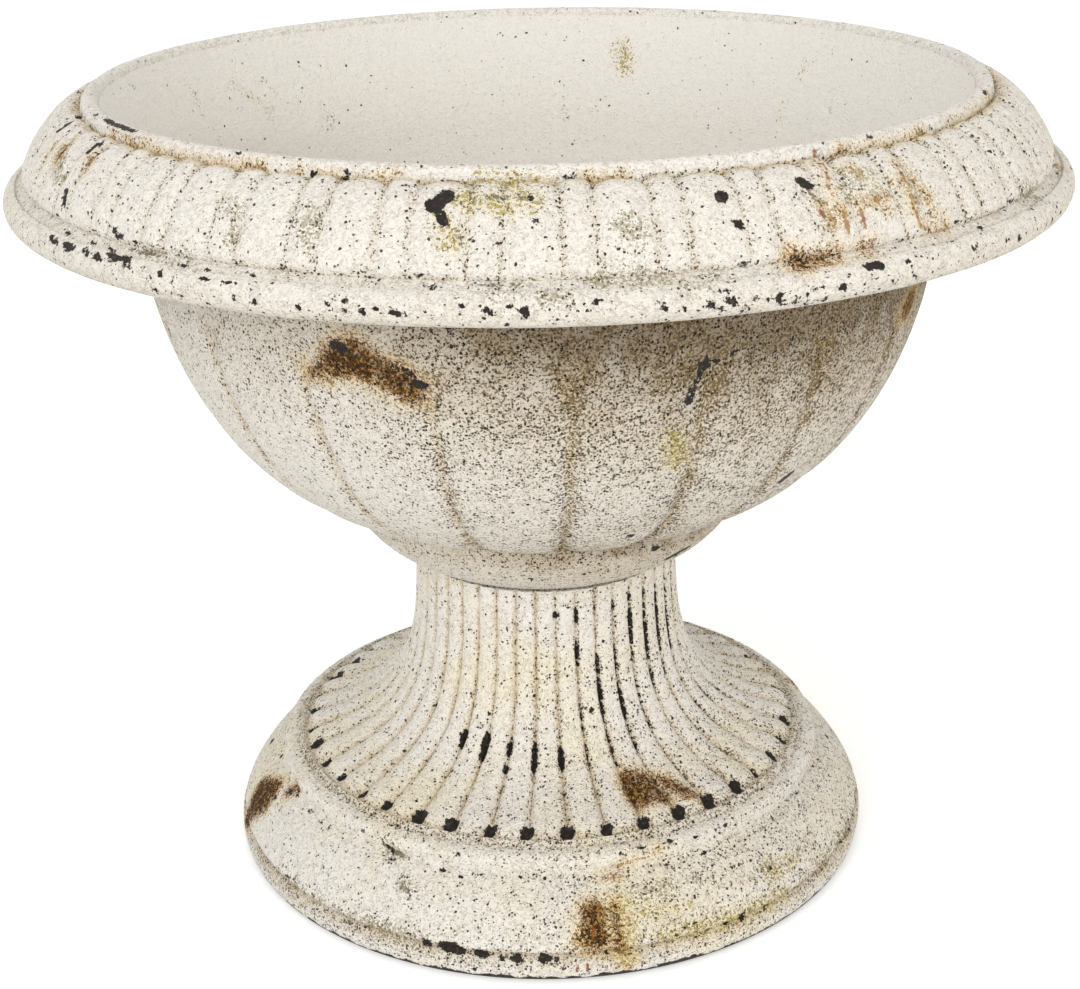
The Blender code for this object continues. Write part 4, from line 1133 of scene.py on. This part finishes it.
def coat_group(name, lay, *values):
    """A group for one kind of wear. Its function lays the wear and gives back where it lies."""
    sockets = SHARED | {value.title(): "Float" for value in values}
    net, given, result = new_group(name, sockets, {"Colour": "Color", "Mask": "Float"})
    coats = Coats(net, given)
    mask = lay(coats, *(given[value.title()] for value in values))
    net.feed(result["Colour"], coats.colour)
    net.feed(result["Mask"], mask)
    return net.tree


def lay_dust_and_shade(coats, dust, groove):
    """Dust over the cream, and a tan wash in the grooves; both are partly painted shade, the dust under the
    rim and on the right.
    """
    net, patches = coats.net, coats.patches
    # Beige dust, and umber where it is thick as under the rim: partly dust and partly painted shade.
    dusty = net.times(dust, net.between(patches, 0.3, 0.66, 0.5, 0.85))
    dust_and_shade_colour = net.over(net.step(dust, 0.5, 1.3), BEIGE_DUST_AND_SHADE, UMBER_DUST_AND_SHADE)
    coats.lay(net.math("MINIMUM", dusty, 0.8), dust_and_shade_colour)
    broken = net.times(net.step(patches, 0.25, 0.6), net.between(coats.crumbs, 0.35, 0.6, 0.5, 1.0))
    grooved = net.times(net.math("MINIMUM", groove, 1.0), broken)
    coats.lay(grooved, GROOVE_TAN_AND_SHADE, 0.7)
    return grooved


print("the first coat is", [round(share, 2) for share in CREAM_LIGHT[:3]])

# %% [markdown]
# Old paint has shrunk into fine folds with dirt in them. A noise crosses its middle value along thin
# wandering lines, so the distance from that value draws the folds. The casting's sand shows as small
# hollows between them. The dark colour laid in the folds and hollows is partly dirt and partly painted
# shade, the small shadows of the relief. Where the paint has worn off the grains of the iron these are
# brown, and black where it is gone.

# %% Lay folds and worn grains
GRAIN_BROWN = chart(98, 77, 38)
GRAIN_DARK = chart(38, 31, 17)
DAMP_OLIVE = chart(158, 146, 104)
BROWN_GRAIN = 0.85
BLACK_GRAIN = {"spacing": 0.95, "largest": 0.54}


def lay_folds_and_shade(coats):
    """Dirt and painted shade in the folds of the paint and in the hollows of its sand."""
    net = coats.net
    off_fold = net.math("ABSOLUTE", net.math("SUBTRACT", net.noise(coats.place, FOLDS), 0.5))
    folds = net.times(net.step(off_fold, 0.08, 0.0), net.step(coats.crumbs, 0.38, 0.6))
    coats.lay(net.times(folds, coats.rough), HOLLOW_DIRT_AND_SHADE, 0.5)
    coats.lay(net.times(net.step(coats.sand, 0.55, 0.66), coats.rough), HOLLOW_DIRT_AND_SHADE, 0.46)
    return folds


def lay_grains(coats, pits, damp):
    """Grains where the paint has worn through, and damp. Gives back where the black ones lie."""
    net, patches = coats.net, coats.patches
    damp_cover = net.times(net.step(damp, -5.0, 3.0), net.step(patches, 0.2, 0.75))
    cover = net.times(pits, net.between(patches, 0.3, 0.7, 0.65, 1.35))
    cover = net.math("ADD", cover, net.times(damp_cover, 0.22))
    coats.lay(coats.speckle(cover, BROWN_GRAIN), GRAIN_BROWN, 0.78)
    everywhere = net.times(coats.rough, 0.03)
    many = net.math("MINIMUM", net.math("MAXIMUM", net.times(cover, 3.0), everywhere), 0.8)
    black = coats.specks(many, **BLACK_GRAIN)
    coats.lay(black, GRAIN_DARK, 0.95)
    coats.lay(coats.speckle(damp_cover, 1.1), DAMP_OLIVE, 0.55)
    return black


print("brown grains of", BROWN_GRAIN, "mm, and black ones up to", 2 * BLACK_GRAIN["largest"], "mm wide")

# %% [markdown]
# Lichen is a pale bloom with mustard and olive grains in it. Rust spreads as a faint halo and an orange
# core, and over both lie four layers of grains, from tan at the outside to almost black in the middle.
# Each layer starts nearer to the middle than the last. Moss and the thin runs of rust have torn outlines.

# %% Lay lichen, rust and moss
LICHEN_PALE = chart(228, 206, 128)
LICHEN_MUSTARD = chart(188, 168, 78)
LICHEN_OLIVE = chart(88, 82, 40)
RUST_HALO = chart(240, 214, 160)
RUST_TAN = chart(176, 134, 66)
RUST_ORANGE = chart(122, 76, 20)
RUST_BROWN = chart(72, 45, 10)
RUST_DARK = chart(34, 23, 6)
RUST_RED = chart(146, 70, 22)
MOSS = chart(104, 94, 62)
MOSS_EDGE = (4.0, 1.0, 0.3)  # millimetres that an outline tears, size of a tear, softness
RUN_EDGE = (1.8, 1.0, 0.3)
RUST_GRAINS = (  # colour, grain size, millimetres inside the mark where it starts, most cover, strength
    (RUST_TAN, 0.9, -6.0, 0.70, 0.85),
    (RUST_ORANGE, 1.0, -5.0, 0.50, 0.85),
    (RUST_BROWN, 1.1, -4.4, 0.66, 0.9),
    (RUST_DARK, 0.9, -3.4, 0.46, 0.9),
)


def lay_lichen(coats, near):
    """Lichen: a bloom and two colours of grains."""
    net = coats.net
    coats.lay(net.step(near, -5.0, 3.0), LICHEN_PALE, 0.28)
    cover = net.times(net.step(near, -6.0, 3.0), 0.46)
    coats.lay(coats.speckle(cover, 1.1), LICHEN_MUSTARD, 0.8)
    olive = coats.speckle(net.times(cover, 0.55), 0.9, net.aside(coats.place))
    coats.lay(olive, LICHEN_OLIVE, 0.85)
    return cover


def lay_rust(coats, near):
    """Rust: a halo, a core and four colours of grains, where every second one lies in other places."""
    net, patches = coats.net, coats.patches
    coats.lay(net.times(net.step(near, -6.5, -0.5), net.between(patches, 0.3, 0.6, 0.1, 0.5)), RUST_HALO)
    core = net.times(net.step(near, -2.5, 3.0), net.between(coats.crumbs, 0.35, 0.6, 0.5, 0.85))
    coats.lay(core, RUST_ORANGE)
    aside = net.aside(coats.place)
    for number, (colour, size, start, most, strength) in enumerate(RUST_GRAINS):
        most = net.between(patches, 0.35, 0.65, 0.7 * most, 1.25 * most)
        place = coats.place if number % 2 else aside
        coats.lay(coats.speckle(net.times(net.step(near, start, 4.0), most), size, place), colour, strength)
    return core


def lay_moss(coats, inside):
    """Dark moss."""
    moss = coats.torn(inside, *MOSS_EDGE)
    coats.lay(moss, MOSS, 0.8)
    return moss


def lay_runs(coats, inside):
    """Thin runs of rust in two reds."""
    run = coats.torn(inside, *RUN_EDGE)
    tone = coats.net.step(coats.patches, 0.42, 0.56)
    coats.lay(run, coats.net.over(tone, RUST_RED, RUST_TAN), 0.85)
    return run


print(len(RUST_GRAINS), "layers of rust grains")

# %% [markdown]
# Bare iron comes last: the listed chips and specks of random size. The foot's lowest edge gets the same
# dark colour, a few millimetres high. It is a little less dull than paint. With it the kinds of wear are
# complete, so this step also makes their groups, in the order in which the wear is laid.

# %% Lay bare iron and make the groups
BARE_IRON = chart(42, 39, 36)
SCUFFED_IRON = chart(96, 88, 78)
CHIP_EDGE = (3.2, 1.5, 0.1)
FOOT_EDGE = (6.0, 5.0, 0.2)
# The foot's lowest edge is dark up to this height.
FOOT_DARK_HEIGHT = 2.2  # height up to which the foot's edge is bare
LARGE_SPECK = {"spacing": 9.0, "largest": 0.9}
PAINT_ROUGHNESS = 0.82
IRON_ROUGHNESS = 0.5
BUMP_DEPTH = 1.0 * MM


def lay_bare_iron(coats, inside):
    """Bare iron in chips and in specks, and the same dark colour along the foot's lowest edge."""
    net = coats.net
    chip = coats.torn(inside, *CHIP_EDGE)
    speck = coats.specks(net.times(coats.rough, 0.35), **LARGE_SPECK)
    above_ground = net.tree.nodes.new("ShaderNodeSeparateXYZ")
    net.feed(above_ground.inputs[0], coats.place)
    low = net.math("SUBTRACT", FOOT_DARK_HEIGHT, above_ground.outputs["Z"])
    bare = net.math("MAXIMUM", net.math("MAXIMUM", chip, speck), coats.torn(low, *FOOT_EDGE))
    scuffed = net.times(net.step(net.noise(coats.place, SCUFFS, 3.0), 0.5, 0.72), 0.6)
    coats.lay(bare, net.over(scuffed, BARE_IRON, SCUFFED_IRON))
    return bare


WEAR = {  # in the order in which it is laid: its function, and the values of the skin that it follows
    # The dust group lays dust and painted shade, and the folds group dirt and painted shade in hollows.
    "dust": (lay_dust_and_shade, "dust", "groove"),
    "folds": (lay_folds_and_shade,),
    "grains": (lay_grains, "pits", "damp"),
    "lichen": (lay_lichen, "lichen"),
    "rust": (lay_rust, "rust"),
    "moss": (lay_moss, "moss"),
    "runs": (lay_runs, "runs"),
    "bare iron": (lay_bare_iron, "chip"),
}
WEAR_GROUPS = {name: coat_group(name, *parts) for name, parts in WEAR.items()}
print("groups:", ", ".join(WEAR_GROUPS))

# %% [markdown]
# The two castings differ only in how much of the warmer cream shows, so one function makes both materials.
# It mixes the cream and places the groups of wear in their order. One Bump node then gives the paint its
# sand, its folds and the step at each chip, from the masks of the groups.

# %% Make the two materials
BOWL_WARMTH = 0.16
PEDESTAL_WARMTH = 0.46


def painted_iron(name, warmth):
    """Material of a casting; warmth is how much of the warmer cream shows."""
    material = bpy.data.materials.new(name)
    material.use_nodes = True
    net = Network(material.node_tree)
    shader = net.tree.nodes["Principled BSDF"]
    place = net.place()
    rough = net.math("MINIMUM", net.value("rough"), 1.0)
    sand = net.noise(place, SAND)
    shared = {"Place": place, "Sand": sand, "Rough": rough}
    shared["Patches"] = net.noise(place, PATCHES, 3.0)
    shared["Crumbs"] = net.noise(place, CRUMBS)
    warm = net.step(net.math("ADD", net.noise(place, CLOUDS, 3.0), warmth - 0.5), 0.35, 0.7)
    colour = net.over(warm, CREAM_LIGHT, CREAM_WARM)
    masks = {}
    for kind, (_, *values) in WEAR.items():
        followed = {value.title(): net.value(value) for value in values}
        colour = place_group(net, WEAR_GROUPS[kind], Colour=colour, **shared, **followed)
        masks[kind] = colour.node.outputs["Mask"]
    net.feed(shader.inputs["Base Color"], colour)
    roughness = net.node("MapRange", Value=masks["bare iron"], To_Min=PAINT_ROUGHNESS, To_Max=IRON_ROUGHNESS)
    net.feed(shader.inputs["Roughness"], roughness.outputs["Result"])
    shader.inputs["Specular IOR Level"].default_value = 0.2

    lumps = net.times(net.noise(place, LUMPS), 0.8)
    grains = net.math("ADD", lumps, net.math("SUBTRACT", 1.0, sand))
    lost = net.math("MAXIMUM", net.times(masks["grains"], 0.35), net.times(masks["bare iron"], 0.8))
    lost = net.math("ADD", lost, net.times(masks["folds"], net.times(rough, 0.3)))
    height = net.math("SUBTRACT", grains, lost)
    bump = net.node("Bump", Strength=1.0, Distance=BUMP_DEPTH, Height=height)
    net.feed(shader.inputs["Normal"], bump.outputs["Normal"])
    return material


bowl_paint = painted_iron("painted iron of the bowl", BOWL_WARMTH)
pedestal_paint = painted_iron("painted iron of the pedestal", PEDESTAL_WARMTH)
print("the paint of the bowl has", len(bowl_paint.node_tree.nodes), "nodes")

# %% [markdown]
# ## Build the two castings
#
# Each casting is laid as a skin, closed through its pierced plate, weathered, and put in the place of its
# plain CAD node. The order matters: the marks are measured on the clean form, and only then is it
# roughened.

# %% Build the bowl
BOWL_DRAIN = 5.0
BOWL_LINE = outside_line(arc(*LIP, 90, 0), BAND, STRIP, arc(*RIM_BEAD, 80, -90), BODY, COLLAR)
INSIDE_LINE = outside_line(((FLOOR_EDGE, FLOOR), (139.2, 257.3), (145.4, 279.6), LIP_INSIDE))
bowl_mesh = casting_mesh("urn_bowl", bowl, BOWL_DRAIN)
weather(bowl_mesh, bowl, BOWL_MARKS, BOWL_LINE, INSIDE_MARKS, INSIDE_LINE)
finish_casting("urn_bowl", bowl_mesh, bowl_paint, "bowl")

# %% Build the pedestal
PEDESTAL_DRAIN = 7.0
PEDESTAL_LINE = outside_line(STEM, arc(*RING, 88, -28), SLOPE, EDGE, EDGE_FOOT)
pedestal_mesh = casting_mesh("urn_pedestal", pedestal, PEDESTAL_DRAIN)
weather(pedestal_mesh, pedestal, PEDESTAL_MARKS, PEDESTAL_LINE, {}, PEDESTAL_LINE)
finish_casting("urn_pedestal", pedestal_mesh, pedestal_paint, "pedestal")

# %% [markdown]
# ## The bolt set and the gasket
#
# The bolt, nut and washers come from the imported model, because their shape is already right. They only
# need their metals: zinc plate goes dull and cloudy, with rust starting in spots. The rubber is black
# with a bloom of dust.

# %% Finish the bolt set and the rubber
ZINC = chart(150, 150, 148)
ZINC_BLOOM = chart(196, 194, 188)
RUBBER = chart(34, 33, 33)
RUBBER_DUST = chart(92, 86, 76)


def zinc_plate():
    """Dull zinc with white bloom and first rust."""
    material = bpy.data.materials.new("dull zinc plate")
    material.use_nodes = True
    net = Network(material.node_tree)
    shader = net.tree.nodes["Principled BSDF"]
    place = net.place()
    bloom = net.step(net.noise(place, 3.0, 4.0), 0.45, 0.68)
    rust = place_group(net, SPECKLE, Place=place, Cover=0.22, Size=1.6)
    colour = net.over(bloom, ZINC, ZINC_BLOOM)
    net.feed(shader.inputs["Base Color"], net.over(rust, colour, RUST_ORANGE))
    net.feed(shader.inputs["Metallic"], net.math("SUBTRACT", 0.9, net.math("MAXIMUM", bloom, rust)))
    net.feed(shader.inputs["Roughness"], net.math("ADD", net.times(bloom, 0.3), 0.42))
    return material


def dusty_rubber():
    """Black rubber with dust on it."""
    material = bpy.data.materials.new("dusty rubber")
    material.use_nodes = True
    net = Network(material.node_tree)
    shader = net.tree.nodes["Principled BSDF"]
    dust = net.step(net.noise(net.place(), 2.4, 4.0), 0.42, 0.72)
    net.feed(shader.inputs["Base Color"], net.over(dust, RUBBER, RUBBER_DUST))
    shader.inputs["Roughness"].default_value = 0.8
    return material


FINISHES = {
    "zinc_steel": zinc_plate(),
    "black_rubber": dusty_rubber(),
}
for part in frame["record"]["subparts"]:
    finish = FINISHES.get(part["material_slot"])
    if finish:
        node = frame["nodes"][part["node"]]
        for slot in node.material_slots:
            slot.material = finish
        print(part["node"], "is now", finish.name)

# %% [markdown]
# ## Floor and light
#
# The urn stands on a pale floor in even daylight. The sky gives most of the light. A key lamp high on the
# left models the form, and a warmer fill lamp low on the right opens the shade under the rim. The floor
# looks white to the camera, but it lights the urn only as much as a pale floor would, and it keeps the
# urn's soft shadow.

# %% Lay the floor
FLOOR_RADIUS = 7.0
FLOOR_GLOW = 0.42
FLOOR_DROP = 0.0004  # metres that it lies under the foot


def seen_directly(net):
    """1 for rays from the camera, off a gloss or through glass, and 0 for rays that carry light."""
    path = net.tree.nodes.new("ShaderNodeLightPath").outputs
    seen = net.math("MAXIMUM", path["Is Camera Ray"], path["Is Glossy Ray"])
    return net.math("MAXIMUM", seen, path["Is Transmission Ray"])


bpy.ops.mesh.primitive_circle_add(
    vertices=96, radius=FLOOR_RADIUS, fill_type="NGON", location=(0, 0, -FLOOR_DROP),
)
floor = bpy.context.object
floor.name = "floor"
floor_material = bpy.data.materials.new("pale floor")
floor_material.use_nodes = True
floor_net = Network(floor_material.node_tree)
floor_shader = floor_net.tree.nodes["Principled BSDF"]
floor_shader.inputs["Base Color"].default_value = chart(240, 240, 239)
floor_shader.inputs["Roughness"].default_value = 1.0
floor_shader.inputs["Specular IOR Level"].default_value = 0.0
floor_shader.inputs["Emission Color"].default_value = (1, 1, 1, 1)
glow = floor_net.times(seen_directly(floor_net), FLOOR_GLOW)
floor_net.feed(floor_shader.inputs["Emission Strength"], glow)
floor.data.materials.append(floor_material)
print("floor laid,", 2 * FLOOR_RADIUS, "m across")

# %% Hang the lights
SKY_STRENGTH = 0.80
LAMPS = {  # place and size in metres, watts, colour
    "key": (Vector((-1.5, -1.9, 1.5)), 1.2, 19.5, (0.98, 0.99, 1.0)),
    "fill": (Vector((1.1, -2.2, 0.35)), 1.6, 22.0, (1.0, 0.96, 0.90)),
}
SKY_COLOUR = (1.0, 0.98, 0.945, 1.0)

world = bpy.data.worlds.new("daylight")
bpy.context.scene.world = world
world.use_nodes = True
sky = Network(world.node_tree)
background = sky.tree.nodes["Background"]
background.inputs["Color"].default_value = SKY_COLOUR
strength = sky.node("MapRange", Value=seen_directly(sky), To_Min=SKY_STRENGTH, To_Max=1.0)
sky.feed(background.inputs["Strength"], strength.outputs["Result"])
middle = Vector((0.0, 0.0, 0.2))
for name, (place, size, watts, colour) in LAMPS.items():
    lamp = bpy.data.lights.new(name, "AREA")
    lamp.energy = watts
    lamp.size = size
    lamp.color = colour
    lamp_object = bpy.data.objects.new(name, lamp)
    bpy.context.collection.objects.link(lamp_object)
    facing = (middle - place).to_track_quat("-Z", "Y").to_matrix().to_4x4()
    lamp_object.matrix_world = Matrix.Translation(place) @ facing
    print(name, "lamp is", round((middle - place).length, 2), "m from the urn")
bpy.context.scene.view_settings.view_transform = "Standard"
